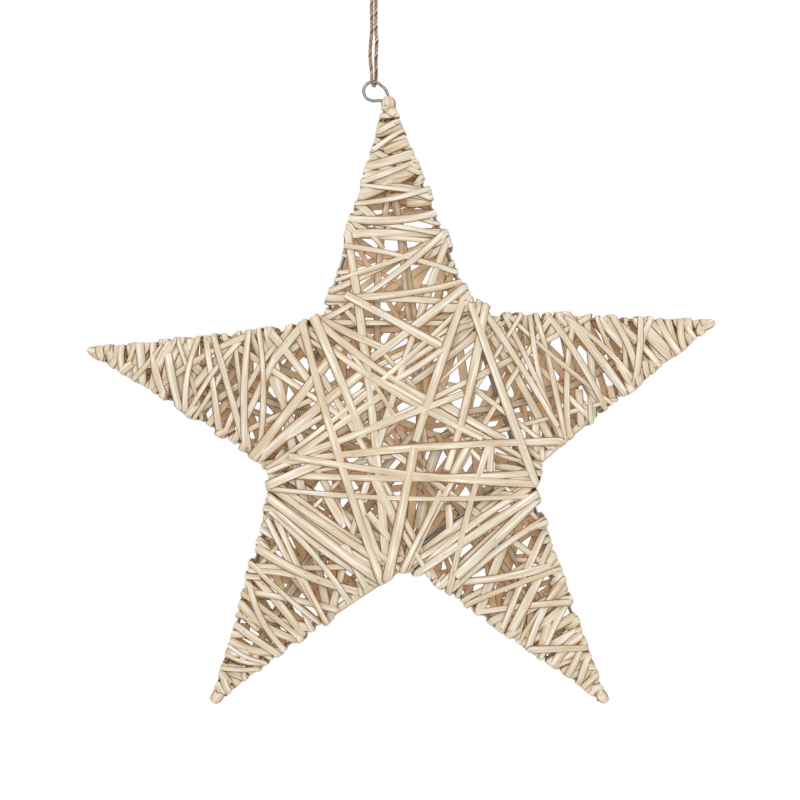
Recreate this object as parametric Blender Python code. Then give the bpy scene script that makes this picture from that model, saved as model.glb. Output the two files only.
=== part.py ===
"""Willow star wall decoration.

Two five-pointed stars of straight steel wires, one in front of the other, meet at their
five points and stand apart in the middle. Peeled split willow is wound round them. A wire
ring at the top point carries a loop of jute twine, and the star hangs by the twine's eye.

X is to the right, Z is up, and the front faces -Y. The origin is the hanging point, the
inside top of the twine's eye. Units are metres, and angles are in degrees.
"""

import math
import random

import bmesh
import bpy
from mathutils import Vector

# Star outline, arms clockwise from the top one as seen from the front
ARM_NAMES = ("top", "right", "lower_right", "lower_left", "left")
STAR_CENTRE = Vector((0.0226, -0.3828))
TIP_RADII = (0.2726, 0.2677, 0.2713, 0.2640, 0.2622)
TIP_ANGLES = (92.3, 19.8, -52.6, -125.2, 164.9)
NOTCH_RADII = (0.1239, 0.1207, 0.1132, 0.1150, 0.1169)
NOTCH_ANGLES = (63.6, -16.9, -89.5, -163.5, 124.4)
TIP_HALF_WIDTH = 0.0045

# Steel wires
WIRE_DIAMETER = 0.0025
WIRE_END_INSET = 0.005
WIRE_SPREAD = 0.0219
GAP = 0.0003
WIRE_PITCH = WIRE_DIAMETER + GAP
WEAVE_CHANGE = 0.10
BEND_REACH = 0.03

# Willow strips; the slants and directions are one for each layer
STRIP_WIDTH = 0.0045
STRIP_THICKNESS = 0.0015
MITRE_LIMIT = 0.6
LAYER_GAP = 0.0002
LAYER_STEP = STRIP_THICKNESS + LAYER_GAP
PASS_PITCH = 0.0155
PASS_JITTER = 0.16
SIDE_PITCH = 0.0135
SIDE_SLANT = 0.003
BODY_PITCH = 0.0165
BODY_MARGIN = 0.6 * BODY_PITCH
BODY_TILT = 2.0
ARM_SLANTS = (0.006, 0.028, -0.032)
BODY_DIRECTIONS = (-36.0, 40.0, 3.0)
PANEL_START = 0.036
PANEL_END = 0.958
SIDE_START = 0.034
BODY_INSET = 0.004875
SEED = 5

# Wound points of the arms; the cavity in each leaves room for the wires' ends
TIP_WRAP_LENGTH = 0.0275
TIP_WRAP_TURNS = 5
TIP_WRAP_BAND = 0.94
TIP_WRAP_STEP = 0.0007
TIP_WRAP_CLEARANCE = 0.0006
TIP_WRAP_WALL = 0.0013
TIP_WRAP_FLARE = 0.345
TIP_WRAP_CHAMFER = 0.26
TIP_END_WIDTH = 0.0033
TIP_END_DEPTH = 0.0048
TIP_CAVITY_START = 0.0032
TIP_CAVITY_CHAMFER = 0.10
TIP_CAVITY_FLARE = 1.06 * math.tan(math.radians(18.0))
ARM_RUN_SHARE = 0.95
ARM_RUN_EXTRA = 0.052

# Strips piled up in the notches between the arms
NOTCH_STRIPS = 4
NOTCH_STRIP_WIDTH = 0.0040
NOTCH_GROOVE_WIDTH = 0.0008
NOTCH_GROOVE_DEPTH = 0.0009
NOTCH_THICKNESS = 0.0046
NOTCH_DEPTH_SHARE = 0.86
NOTCH_LIMB = NOTCH_STRIPS * (NOTCH_STRIP_WIDTH + NOTCH_GROOVE_WIDTH) - NOTCH_GROOVE_WIDTH

# Hanging ring and twine
RING_WIRE_DIAMETER = 0.0020
RING_CENTRE = Vector((-0.0006, -0.1059))
RING_RADIUS = 0.0077
RING_LOWER_END = (-0.0069, -0.0030)
RING_SHOULDER = (-0.0026, 0.0062)
RING_UPPER_END = (-0.0002, 0.0009)
TWINE_DIAMETER = 0.0030
EYE_HALF_WIDTH = 0.0062
KNOT_RADIUS = 0.0046
KNOT_CENTRE_Z = -0.0205
STRAND_HALF_GAP = 0.00165
STRAND_BOW = 0.0007
TURN_HALF_DEPTH = 0.0038
TURN_HALF_WIDTH = 0.0014
TWINE_SPACING = 0.0040
CURVE_STEPS = 16

WILLOW_COLOUR = (0.73, 0.65, 0.50, 1.0)
STEEL_COLOUR = (0.42, 0.43, 0.45, 1.0)
JUTE_COLOUR = (0.42, 0.29, 0.16, 1.0)


def make_material(name, colour, metallic, roughness):
    """Return a Principled material with plain values."""
    material = bpy.data.materials.new(name)
    material.use_nodes = True
    shader = material.node_tree.nodes["Principled BSDF"]
    shader.inputs["Base Color"].default_value = colour
    shader.inputs["Metallic"].default_value = metallic
    shader.inputs["Roughness"].default_value = roughness
    material.diffuse_color = colour
    return material


def willow_material(name):
    """Pale peeled willow with a dry surface."""
    return make_material(name + "_willow", WILLOW_COLOUR, 0.0, 0.75)


def steel_material(name):
    """Bright galvanised steel wire."""
    return make_material(name + "_steel", STEEL_COLOUR, 1.0, 0.4)


def jute_material(name):
    """Brown jute twine."""
    return make_material(name + "_jute", JUTE_COLOUR, 0.0, 0.9)


def clear_scene():
    """Remove every object that the scene starts with."""
    for old in list(bpy.data.objects):
        bpy.data.objects.remove(old)


def add_mesh(name, mesh_data, material):
    """Turn a bmesh into a named object with its own material."""
    bmesh.ops.recalc_face_normals(mesh_data, faces=mesh_data.faces[:])
    mesh = bpy.data.meshes.new(name)
    mesh_data.to_mesh(mesh)
    mesh_data.free()
    mesh.materials.append(material)
    part = bpy.data.objects.new(name, mesh)
    bpy.context.collection.objects.link(part)
    return part


def add_tube(name, points, diameter, sides_setting, material):
    """A round tube along a list of points, with its ends filled."""
    curve = bpy.data.curves.new(name, "CURVE")
    curve.dimensions = "3D"
    curve.bevel_depth = diameter / 2
    curve.bevel_resolution = sides_setting
    curve.use_fill_caps = True
    spline = curve.splines.new("POLY")
    spline.points.add(len(points) - 1)
    for spline_point, place in zip(spline.points, points):
        spline_point.co = (place[0], place[1], place[2], 1.0)
    curve.materials.append(material)
    part = bpy.data.objects.new(name, curve)
    bpy.context.collection.objects.link(part)
    return part


def from_centre(radius, angle):
    """A point of the star's plane, (x, z), given from the star's centre."""
    turn = math.radians(angle)
    return STAR_CENTRE + radius * Vector((math.cos(turn), math.sin(turn)))


def in_space(flat_point, depth):
    """The point (x, z) of the star's plane at a depth y."""
    return Vector((flat_point[0], depth, flat_point[1]))


TIPS = [from_centre(r, a) for r, a in zip(TIP_RADII, TIP_ANGLES)]
NOTCHES = [from_centre(r, a) for r, a in zip(NOTCH_RADII, NOTCH_ANGLES)]
WIRE_ENDS = [from_centre(r - WIRE_END_INSET, a) for r, a in zip(TIP_RADII, TIP_ANGLES)]

# Depth of the wound strips' inner face, at the arms' points and over the body
WIRE_COVER = WIRE_DIAMETER / 2 + GAP + 0.0001
INNER_DEPTH_AT_TIP = 1.5 * WIRE_PITCH + WIRE_COVER - 0.0006
INNER_DEPTH_AT_BODY = WIRE_SPREAD + 0.5 * WIRE_PITCH + WIRE_COVER


def crossing_place(start, end, other_start, other_end):
    """How far along one wire, from 0 to 1, it crosses another in the star's plane."""
    run = end - start
    other_run = other_end - other_start
    offset = other_start - start
    cross = run[0] * other_run[1] - run[1] * other_run[0]
    return (offset[0] * other_run[1] - offset[1] * other_run[0]) / cross


def wire_ends(number):
    """A wire's two ends; each wire joins a point to the next but one, clockwise."""
    return WIRE_ENDS[number % 5], WIRE_ENDS[(number + 2) % 5]


def wire_depth(place, first, second):
    """How far a wire stands from the middle plane, where it crosses two others.

    The stars spread apart from their points to the crossings. Each wire lies over the
    wire that it crosses first and under the one that it crosses second.
    """
    spread = min(place / first, (1.0 - place) / (1.0 - second), 1.0)
    weave = min(max((0.5 - place) / WEAVE_CHANGE, -0.5), 0.5)
    return WIRE_PITCH + (WIRE_SPREAD - WIRE_PITCH) * spread + weave * WIRE_PITCH


def add_star_wires(star_name, side):
    """The five straight wires of one star; side is -1 for the front one, 1 for the back."""
    for number, arm in enumerate(ARM_NAMES):
        start, end = wire_ends(number)
        first = crossing_place(start, end, *wire_ends(number - 1))
        second = crossing_place(start, end, *wire_ends(number + 1))
        places = [0.0, first - BEND_REACH, first, first + BEND_REACH, 0.5 - WEAVE_CHANGE / 2]
        places += [0.5 + WEAVE_CHANGE / 2, second - BEND_REACH, second, second + BEND_REACH, 1.0]
        points = []
        for place in places:
            depth = wire_depth(place, first, second)
            points.append(in_space(start.lerp(end, place), side * depth))
        name = f"wire_{star_name}_{arm}"
        add_tube(name, points, WIRE_DIAMETER, 1, steel_material(name))


def strip_surface(mesh_data, path, normal):
    """Add a flat strip of quads along a path, with mitred bends, in the plane of normal."""
    edges = []
    last = len(path) - 1
    for index, point in enumerate(path):
        before = (point - path[index - 1]) if index > 0 else (path[1] - point)
        after = (path[index + 1] - point) if index < last else before
        sides = []
        for run in (before, after):
            flat = run - run.dot(normal) * normal
            sides.append(normal.cross(flat).normalized())
        mitre = (sides[0] + sides[1]).normalized()
        reach = STRIP_WIDTH / 2 / max(mitre.dot(sides[0]), MITRE_LIMIT)
        edges.append(
            (mesh_data.verts.new(point - reach * mitre), mesh_data.verts.new(point + reach * mitre))
        )
    for (left_a, right_a), (left_b, right_b) in zip(edges, edges[1:]):
        mesh_data.faces.new((left_a, right_a, right_b, left_b))


def add_strip(name, path, normal):
    """A willow strip of true thickness laid along a path."""
    mesh_data = bmesh.new()
    strip_surface(mesh_data, path, normal)
    part = add_mesh(name, mesh_data, willow_material(name))
    thickness = part.modifiers.new("Strip thickness", "SOLIDIFY")
    thickness.thickness = STRIP_THICKNESS
    thickness.offset = 0.0
    return part


def wound_path(edge_a, edge_b, stations, lift, turn_first):
    """Lead a strip back and forth between two edges.

    Each station is a pair of distances, one along each edge. The strip crosses from one
    edge to the other, runs along that edge to the next station, and crosses back.
    """
    path = []
    for number, (along_a, along_b) in enumerate(stations):
        crossing = [edge_a(along_a) + lift, edge_b(along_b) + lift]
        if (number + turn_first) % 2:
            crossing.reverse()
        path.extend(crossing)
    return path


def slanted_stations(start, end, pitch, slant, rng):
    """Evenly spaced crossings between start and end, with a slant and a little disorder."""
    room = end - start - abs(slant)
    count = int(room / pitch) + 1
    first = start + max(-slant, 0.0)
    stations = []
    for number in range(count):
        middle = first + room * number / (count - 1)
        along_a = middle + slant
        drift_a = PASS_JITTER * pitch * rng.uniform(-1.0, 1.0)
        drift_b = PASS_JITTER * pitch * rng.uniform(-1.0, 1.0)
        along_a = min(max(along_a + drift_a, start), end)
        along_b = min(max(middle + drift_b, start), end)
        stations.append((along_a, along_b))
    return stations


def arm_edges(arm, inset):
    """The two outer edges of an arm in the star's plane, as (start, direction, length)."""
    inward = (STAR_CENTRE - TIPS[arm]).normalized()
    across = Vector((inward[1], -inward[0]))
    edges = []
    for side, notch in ((-1, NOTCHES[arm]), (1, NOTCHES[arm - 1])):
        start = TIPS[arm] + side * TIP_HALF_WIDTH * across
        if (notch - TIPS[arm]).dot(across) * side < 0:
            start = TIPS[arm] - side * TIP_HALF_WIDTH * across
        run = notch - start
        outward = Vector((run[1], -run[0])).normalized()
        if outward.dot(start - TIPS[arm]) < 0:
            outward = -outward
        edges.append((start - inset * outward, run.normalized(), run.length, outward))
    return edges


def inner_depth(share):
    """Depth of the strips' inner face at a share of an arm's edge, from its point to the body."""
    return INNER_DEPTH_AT_TIP + (INNER_DEPTH_AT_BODY - INNER_DEPTH_AT_TIP) * share


def add_arm_face(arm, face_name, side):
    """The strips that cross the front or back of an arm, in three layers."""
    rng = random.Random(SEED + 10 * arm + side)
    (start_a, run_a, length_a, _), (start_b, run_b, length_b, _) = arm_edges(arm, STRIP_WIDTH / 2)

    def edge_a(share):
        return in_space(start_a + share * length_a * run_a, side * inner_depth(share))

    def edge_b(share):
        return in_space(start_b + share * length_b * run_b, side * inner_depth(share))

    across = edge_b(0.0) - edge_a(0.0)
    down = edge_a(1.0) - edge_a(0.0)
    normal = across.cross(down).normalized()
    if normal.y * side < 0:
        normal = -normal
    length = (length_a + length_b) / 2
    path = []
    for layer, slant in enumerate(ARM_SLANTS):
        lift = (STRIP_THICKNESS / 2 + layer * LAYER_STEP) * normal
        span = (PANEL_START / length, PANEL_END, PASS_PITCH / length, slant / length)
        stations = slanted_stations(*span, rng)
        if layer % 2:
            stations.reverse()
        turn_first = 0
        if path:
            near_a = (path[-1] - edge_a(stations[0][0])).length
            near_b = (path[-1] - edge_b(stations[0][1])).length
            turn_first = int(near_b < near_a)
        path.extend(wound_path(edge_a, edge_b, stations, lift, turn_first))
    add_strip(f"arm_{ARM_NAMES[arm]}_{face_name}", path, normal)


def add_arm_sides(arm):
    """The strips that pass from front to back round the two sides of an arm."""
    rng = random.Random(SEED + 100 + arm)
    edges = arm_edges(arm, STRIP_THICKNESS / 2)
    for side_name, (start, run, length, outward) in zip(("clockwise", "anticlockwise"), edges):

        def front_edge(distance):
            depth = inner_depth(distance / length) - GAP - STRIP_WIDTH / 2
            return in_space(start + distance * run, -depth)

        def back_edge(distance):
            depth = inner_depth(distance / length) - GAP - STRIP_WIDTH / 2
            return in_space(start + distance * run, depth)

        end = length - NOTCH_LIMB - 0.8 * STRIP_WIDTH
        stations = slanted_stations(SIDE_START, end, SIDE_PITCH, SIDE_SLANT, rng)
        path = wound_path(front_edge, back_edge, stations, Vector(), 0)
        name = f"arm_{ARM_NAMES[arm]}_{side_name}_side"
        add_strip(name, path, in_space(outward, 0.0))


def clipped_crossing(origin, direction, outline):
    """Where a straight line enters and leaves a convex outline in the star's plane."""
    hits = []
    for corner, following in zip(outline, outline[1:] + outline[:1]):
        run = following - corner
        cross = direction[0] * run[1] - direction[1] * run[0]
        if abs(cross) < 1e-9:
            continue
        offset = corner - origin
        along_edge = (offset[0] * direction[1] - offset[1] * direction[0]) / cross
        along_line = (offset[0] * run[1] - offset[1] * run[0]) / cross
        if 0.0 <= along_edge <= 1.0:
            hits.append(along_line)
    return min(hits), max(hits)


def add_body_face(face_name, side):
    """The strips that cross the middle of the star, in three layers."""
    rng = random.Random(SEED + 200 + side)
    outline = [notch + (STAR_CENTRE - notch).normalized() * BODY_INSET for notch in NOTCHES]
    normal = Vector((0.0, side, 0.0))
    path = []
    for layer, direction_angle in enumerate(BODY_DIRECTIONS):
        turn = math.radians(direction_angle * -side)
        direction = Vector((math.cos(turn), math.sin(turn)))
        across = Vector((-direction[1], direction[0]))
        heights = [(corner - STAR_CENTRE).dot(across) for corner in outline]
        low = min(heights) + BODY_MARGIN
        high = max(heights) - BODY_MARGIN
        count = int((high - low) / BODY_PITCH) + 1
        depth = side * (INNER_DEPTH_AT_BODY + STRIP_THICKNESS / 2 + layer * LAYER_STEP)
        crossings = []
        for number in range(count):
            height = low + (high - low) * number / (count - 1)
            tilt = math.radians(rng.uniform(-BODY_TILT, BODY_TILT))
            origin = STAR_CENTRE + height * across
            leaning = Vector((math.cos(turn + tilt), math.sin(turn + tilt)))
            near, far = clipped_crossing(origin, leaning, outline)
            ends = [in_space(origin + leaning * near, depth), in_space(origin + leaning * far, depth)]
            crossings.append(ends)
        if path and (path[-1] - crossings[-1][0]).length < (path[-1] - crossings[0][0]).length:
            crossings.reverse()
        for ends in crossings:
            if path and (path[-1] - ends[1]).length < (path[-1] - ends[0]).length:
                ends.reverse()
            path.extend(ends)
    add_strip(f"body_{face_name}", path, normal)


def octagon(half_width, half_depth, chamfer):
    """Eight points of a box section with cut corners, as (across, depth) pairs."""
    short_width = half_width * (1.0 - chamfer)
    short_depth = half_depth * (1.0 - chamfer)
    quarter = ((half_width, short_depth), (short_width, half_depth))
    left = tuple((-across, depth) for across, depth in reversed(quarter))
    top = quarter + left
    return top + tuple((-across, -depth) for across, depth in top)


def add_tip_wrap(arm):
    """The turns of willow that bind the wires' ends together at an arm's point."""
    inward = (STAR_CENTRE - TIPS[arm]).normalized()
    across = Vector((inward[1], -inward[0]))
    arm_run = ARM_RUN_SHARE * NOTCH_RADII[arm] + ARM_RUN_EXTRA
    depth_slope = (INNER_DEPTH_AT_BODY - INNER_DEPTH_AT_TIP) / arm_run

    def ring(distance, half_width, half_depth, chamfer):
        centre = TIPS[arm] + distance * inward
        return [
            mesh_data.verts.new(in_space(centre + sideways * across, depth))
            for sideways, depth in octagon(half_width, half_depth, chamfer)
        ]

    def wire_room(distance):
        beyond = max(distance - WIRE_END_INSET, 0.0)
        spare = WIRE_DIAMETER / 2 + TIP_WRAP_CLEARANCE
        half_width = beyond * TIP_CAVITY_FLARE + spare
        half_depth = 1.5 * WIRE_PITCH + beyond * depth_slope + spare
        return half_width, half_depth

    mesh_data = bmesh.new()
    rings = []
    for turn in range(TIP_WRAP_TURNS):
        for edge in (0, 1):
            turns_done = turn + edge * TIP_WRAP_BAND
            distance = TIP_WRAP_LENGTH * turns_done / (TIP_WRAP_TURNS - 1.0 + TIP_WRAP_BAND)
            distance = min(distance, TIP_WRAP_LENGTH)
            swell = TIP_WRAP_STEP * (turn % 2) + (TIP_WRAP_STEP * 0.4 * edge)
            room_width, room_depth = wire_room(distance)
            flared_width = TIP_HALF_WIDTH + distance * TIP_WRAP_FLARE
            half_width = max(flared_width, room_width + TIP_WRAP_WALL)
            half_depth = room_depth + TIP_WRAP_WALL
            if turn == 0 and edge == 0:
                half_width = TIP_END_WIDTH
                half_depth = TIP_END_DEPTH
            rings.append(ring(distance, half_width + swell, half_depth + swell, TIP_WRAP_CHAMFER))
    for distance in (TIP_WRAP_LENGTH, TIP_CAVITY_START):
        half_width, half_depth = wire_room(distance)
        rings.append(ring(distance, half_width, half_depth, TIP_CAVITY_CHAMFER))
    for first, second in zip(rings, rings[1:]):
        for index in range(8):
            following = (index + 1) % 8
            mesh_data.faces.new((first[index], first[following], second[following], second[index]))
    mesh_data.faces.new(rings[0])
    mesh_data.faces.new(rings[-1])
    add_mesh(f"arm_{ARM_NAMES[arm]}_tip_wrap", mesh_data, willow_material(ARM_NAMES[arm] + "_tip"))


def notch_outline(notch):
    """Outline of the strips stacked in a notch: two grooved limbs that meet at an angle."""
    corner = NOTCHES[notch]
    limbs = (
        (TIPS[notch] - corner).normalized(),
        (TIPS[(notch + 1) % 5] - corner).normalized(),
    )
    inner_corner = corner + (STAR_CENTRE - corner).normalized() * NOTCH_THICKNESS
    outer = [corner]
    for limb_number, limb in enumerate(limbs):
        towards_body = (STAR_CENTRE - corner).normalized()
        inward = Vector((limb[1], -limb[0]))
        if inward.dot(towards_body) < 0:
            inward = -inward
        points = []
        for strip in range(NOTCH_STRIPS):
            start = strip * (NOTCH_STRIP_WIDTH + NOTCH_GROOVE_WIDTH)
            end = start + NOTCH_STRIP_WIDTH
            if strip > 0:
                points.append(corner + start * limb)
            points.append(corner + end * limb)
            if strip < NOTCH_STRIPS - 1:
                points.append(corner + end * limb + NOTCH_GROOVE_DEPTH * inward)
                groove_end = end + NOTCH_GROOVE_WIDTH
                points.append(corner + groove_end * limb + NOTCH_GROOVE_DEPTH * inward)
        points.append(corner + NOTCH_LIMB * limb + STRIP_THICKNESS * inward)
        if limb_number == 0:
            outer = outer + points
            outer.append(inner_corner)
        else:
            outer = outer + list(reversed(points))
    return outer


def add_notch_wrap(notch):
    """The strips that pass from front to back in the notch between two arms."""
    half_depth = inner_depth(NOTCH_DEPTH_SHARE) - GAP
    mesh_data = bmesh.new()
    outline = [mesh_data.verts.new(in_space(point, -half_depth)) for point in notch_outline(notch)]
    face = mesh_data.faces.new(outline)
    extruded = bmesh.ops.extrude_face_region(mesh_data, geom=[face])
    moved = [item for item in extruded["geom"] if isinstance(item, bmesh.types.BMVert)]
    bmesh.ops.translate(mesh_data, verts=moved, vec=(0.0, 2 * half_depth, 0.0))
    bmesh.ops.triangulate(mesh_data, faces=mesh_data.faces[:])
    name = f"notch_{ARM_NAMES[notch]}_to_{ARM_NAMES[(notch + 1) % 5]}"
    add_mesh(name, mesh_data, willow_material(name))


def even_points(guides, spacing):
    """Points at an even spacing along a smooth curve through the guides."""
    count = len(guides)
    dense = []
    for index in range(count - 1):
        before = guides[max(index - 1, 0)]
        start, end = guides[index], guides[index + 1]
        after = guides[min(index + 2, count - 1)]
        for step in range(CURVE_STEPS):
            t = step / CURVE_STEPS
            dense.append(
                0.5 * (2 * start + (end - before) * t
                       + (2 * before - 5 * start + 4 * end - after) * t ** 2
                       + (3 * start - before - 3 * end + after) * t ** 3)
            )
    dense.append(guides[-1])
    lengths = [0.0]
    for first, second in zip(dense, dense[1:]):
        lengths.append(lengths[-1] + (second - first).length)
    steps = max(int(round(lengths[-1] / spacing)), 2)
    points = []
    segment = 0
    for step in range(steps + 1):
        wanted = lengths[-1] * step / steps
        while segment < len(lengths) - 2 and lengths[segment + 1] < wanted:
            segment += 1
        share = (wanted - lengths[segment]) / (lengths[segment + 1] - lengths[segment])
        points.append(dense[segment].lerp(dense[segment + 1], share))
    return points


def add_ring():
    """The wire ring at the top point; its two ends run into the wound tip."""
    tip = TIPS[0]
    guides = [in_space(tip + Vector(RING_LOWER_END), 0.0)]
    for angle in (-92.0, -135.0, 180.0, 140.0, 105.0, 72.0, 42.0):
        turn = math.radians(angle)
        spot = RING_CENTRE + RING_RADIUS * Vector((math.cos(turn), math.sin(turn)))
        guides.append(in_space(spot, 0.0))
    guides.append(in_space(tip + Vector(RING_SHOULDER), 0.0))
    guides.append(in_space(tip + Vector(RING_UPPER_END), 0.0))
    points = even_points(guides, 0.0028)
    add_tube("hanging_ring", points, RING_WIRE_DIAMETER, 2, steel_material("hanging_ring"))


def add_twine_eye():
    """The small eye above the knot, which a hook or nail goes through."""
    foot = KNOT_CENTRE_Z + KNOT_RADIUS * 0.90
    top = TWINE_DIAMETER / 2
    guides = [
        Vector((-0.0021, 0.0, foot + GAP)),
        Vector((-0.0046, 0.0, foot + 0.0050)),
        Vector((-EYE_HALF_WIDTH, 0.0, top - 0.0065)),
        Vector((-0.0042, 0.0, top - 0.0014)),
        Vector((0.0, 0.0, top)),
        Vector((0.0042, 0.0, top - 0.0014)),
        Vector((EYE_HALF_WIDTH, 0.0, top - 0.0065)),
        Vector((0.0046, 0.0, foot + 0.0050)),
        Vector((0.0021, 0.0, foot + GAP)),
    ]
    points = even_points(guides, TWINE_DIAMETER * 1.4)
    add_tube("twine_eye", points, TWINE_DIAMETER, 2, jute_material("twine_eye"))


def add_twine_knot():
    """The knot where the twine's two strands and its eye meet."""
    mesh_data = bmesh.new()
    bmesh.ops.create_uvsphere(mesh_data, u_segments=12, v_segments=8, radius=KNOT_RADIUS)
    bmesh.ops.scale(mesh_data, vec=(1.0, 0.86, 0.90), verts=mesh_data.verts[:])
    part = add_mesh("twine_knot", mesh_data, jute_material("twine_knot"))
    part.location = (0.0, 0.0, KNOT_CENTRE_Z)


def add_twine_legs():
    """The two strands from the knot down to the ring, one length that turns under its wire."""
    top = KNOT_CENTRE_Z - KNOT_RADIUS * 0.90 - GAP
    ring_top = RING_CENTRE[1] + RING_RADIUS
    turn_z = ring_top - RING_WIRE_DIAMETER / 2 - 2 * GAP - TWINE_DIAMETER / 2
    bowed = STRAND_HALF_GAP + STRAND_BOW
    stations = (
        (0.0, STRAND_HALF_GAP, 0.0, top),
        (0.0, STRAND_HALF_GAP, 0.0, -0.0560),
        (0.0, bowed, 0.0004, -0.0645),
        (RING_CENTRE[0], bowed, 0.0010, -0.0780),
        (0.0, 0.0018, 0.0028, -0.0905),
        (0.0, TURN_HALF_WIDTH, TURN_HALF_DEPTH, turn_z + 0.0036),
    )
    down = [Vector((middle - gap, -depth, height)) for middle, gap, depth, height in stations]
    turn = [Vector((0.0, 0.0, turn_z))]
    up = [Vector((middle + gap, depth, height)) for middle, gap, depth, height in reversed(stations)]
    points = even_points(down + turn + up, TWINE_SPACING)
    add_tube("twine_legs", points, TWINE_DIAMETER, 2, jute_material("twine_legs"))


def build():
    """Make every part of the decoration."""
    clear_scene()
    for star_name, side in (("front", -1), ("back", 1)):
        add_star_wires(star_name, side)
    for arm in range(5):
        add_arm_face(arm, "front", -1)
        add_arm_face(arm, "back", 1)
        add_arm_sides(arm)
        add_tip_wrap(arm)
        add_notch_wrap(arm)
    add_body_face("front", -1)
    add_body_face("back", 1)
    add_ring()
    add_twine_eye()
    add_twine_knot()
    add_twine_legs()


build()
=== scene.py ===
"""Willow star wall decoration: the finished look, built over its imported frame.

Split willow strips are wound one by one round two stars of steel wire. Each strip is
pulled tight over whatever was wound before it, so the layers build up as on a real one.
Lengths are in metres unless a comment says otherwise. X is right, Z is up, the front is -Y.
"""

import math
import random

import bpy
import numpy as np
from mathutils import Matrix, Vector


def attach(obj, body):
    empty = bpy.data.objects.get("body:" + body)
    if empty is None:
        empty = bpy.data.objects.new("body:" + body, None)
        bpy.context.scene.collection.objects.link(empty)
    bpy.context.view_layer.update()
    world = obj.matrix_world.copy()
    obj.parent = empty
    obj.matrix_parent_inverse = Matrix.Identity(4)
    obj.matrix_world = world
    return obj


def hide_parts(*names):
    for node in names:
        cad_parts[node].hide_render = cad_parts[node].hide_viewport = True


bl_info = {
    "name": "Willow Star",
    "version": (1, 0, 0),
    "blender": (4, 5, 0),
    "location": "3D View > Sidebar > Willow Star",
    "description": "Winds a hanging willow star and dresses its wires, ring and twine",
    "category": "Object",
}

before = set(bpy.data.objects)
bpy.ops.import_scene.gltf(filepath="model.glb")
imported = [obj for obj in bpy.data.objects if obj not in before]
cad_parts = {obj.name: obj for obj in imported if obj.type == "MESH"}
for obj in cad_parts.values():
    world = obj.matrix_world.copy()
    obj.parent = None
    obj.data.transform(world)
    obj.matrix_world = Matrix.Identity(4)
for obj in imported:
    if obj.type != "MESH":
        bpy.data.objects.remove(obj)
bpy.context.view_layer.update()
BODY = "root"
MM = 0.001

# Points that a smooth curve is worked out at, between one guide and the next
CURVE_STEPS = 16

# Star outline, arms clockwise from the top one as seen from the front
ARMS = ("top", "right", "lower_right", "lower_left", "left")
ARM_NODES = ("front", "back", "clockwise_side", "anticlockwise_side", "tip_wrap")
STAR_CENTRE = np.array((0.0226, -0.3828))
TIP_RADII = (0.2726, 0.2677, 0.2713, 0.2640, 0.2622)
TIP_ANGLES = (92.3, 19.8, -52.6, -125.2, 164.9)

# Wires of the two stars: their thickness, how far apart they run, and how they weave and bend
WIRE_END_INSET = 0.005
WIRE_RADIUS = 0.0010
WIRE_PITCH = 0.0028
WIRE_SPREAD = 0.0219
WEAVE_CHANGE = 0.10
BEND_REACH = 0.03
WIRE_POINT_SPACING = 0.012
WIRE_CORNERS = 12
SHARP_WIRE_ANGLE = 50.0

# How far each wire bows away from the star's middle, and how far it sways like an S
WIRE_BOWS = (0.0023, 0.0015, -0.0055, 0.0, 0.0115)
WIRE_SWAYS = (0.0022, 0.0, 0.0017, 0.0, -0.0016)

# Two wires cross between the first two of these places on one and the last two on the other
MEETING_PLACES = (0.2, 0.5, 0.8)
MEETING_STEPS = 301

# Hanging ring, on the route that the frame's solid takes
RING_WIRE_RADIUS = 0.00125
RING_CENTRE = Vector((-0.0006, -0.1059))
RING_RADIUS = 0.0077
RING_ANGLES = (-92.0, -135.0, 180.0, 140.0, 105.0, 72.0, 42.0)
RING_POINT_SPACING = 0.0012
RING_CORNERS = 14

# The ring's two ends, as distances from the top point: right, back and up
RING_FIRST_END = ((0.0010, -0.001, -0.0080), (-0.0030, 0.0, -0.0042), (-0.0069, 0.0, -0.0030))
RING_LAST_END = ((-0.0026, 0.0, 0.0062), (-0.0002, 0.0, 0.0009), (0.0012, 0.001, -0.0090))

# Twine, on the routes that the frame's solids take
TWINE_DIAMETER = 0.0030
STRAND_HALF_GAP = 0.00165
STRAND_BOW = 0.0007
TURN_HALF_DEPTH = 0.0038
TURN_HALF_WIDTH = 0.0014
RING_CLEARANCE = 0.0006
TWINE_POINT_SPACING = 0.0011
TWIST_LENGTH = 0.0115
PLIES = 3
TWINE_CORNERS = 21
TWINE_CORE = 0.70
TWINE_PLY_RISE = 0.30
TWINE_PLY_ROUNDNESS = 0.6
TWINE_GIRTH = 0.009

# Knot: its middle and height, where the twine starts, passes and ends in it, and its turns
KNOT_CENTRE_Z = -0.0205
KNOT_HALF_HEIGHT = 0.0041
KNOT_CLEARANCE = 0.0003
KNOT_PASSES = ((-0.0012, -0.0008, -0.0012), (0.0006, 0.0008, 0.0004), (0.0008, 0.0014, -0.0016))
KNOT_STEPS = 20
KNOT_TURNS = 2.6
KNOT_TURNS_START = 0.1
KNOT_REACH = 0.0030
KNOT_BULGE = 0.0006
KNOT_FLATNESS = 0.86
KNOT_TURNS_TOP = 0.0028

# Grids that keep how high the willow stands: a bare cell's value, the cells' size and the grids' reach
EMPTY = -1.0
CELL = 0.001
FIELD_REACH = 0.30
SIDE_FIELD_MARGIN = 0.01
SIDE_FIELD_DEPTH = 0.04
SIDE_WIRE_MARGIN = 0.008
SIDE_WIRE_ROWS = (-0.0012, -0.0006, 0.0, 0.0006, 0.0012)
WIRE_PLACE_STEP = 0.001

# Passes of a strip: the spacing of its points, how far across its width it presses, and its bow
PASS_STEP = 0.004
SHORTEST_RUN = 1e-6
PRESSING_SHARE = 0.42
PRESSING_ROWS = 5
MOST_BOW = 0.0042
STEEPEST_BOW = 0.12

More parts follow.
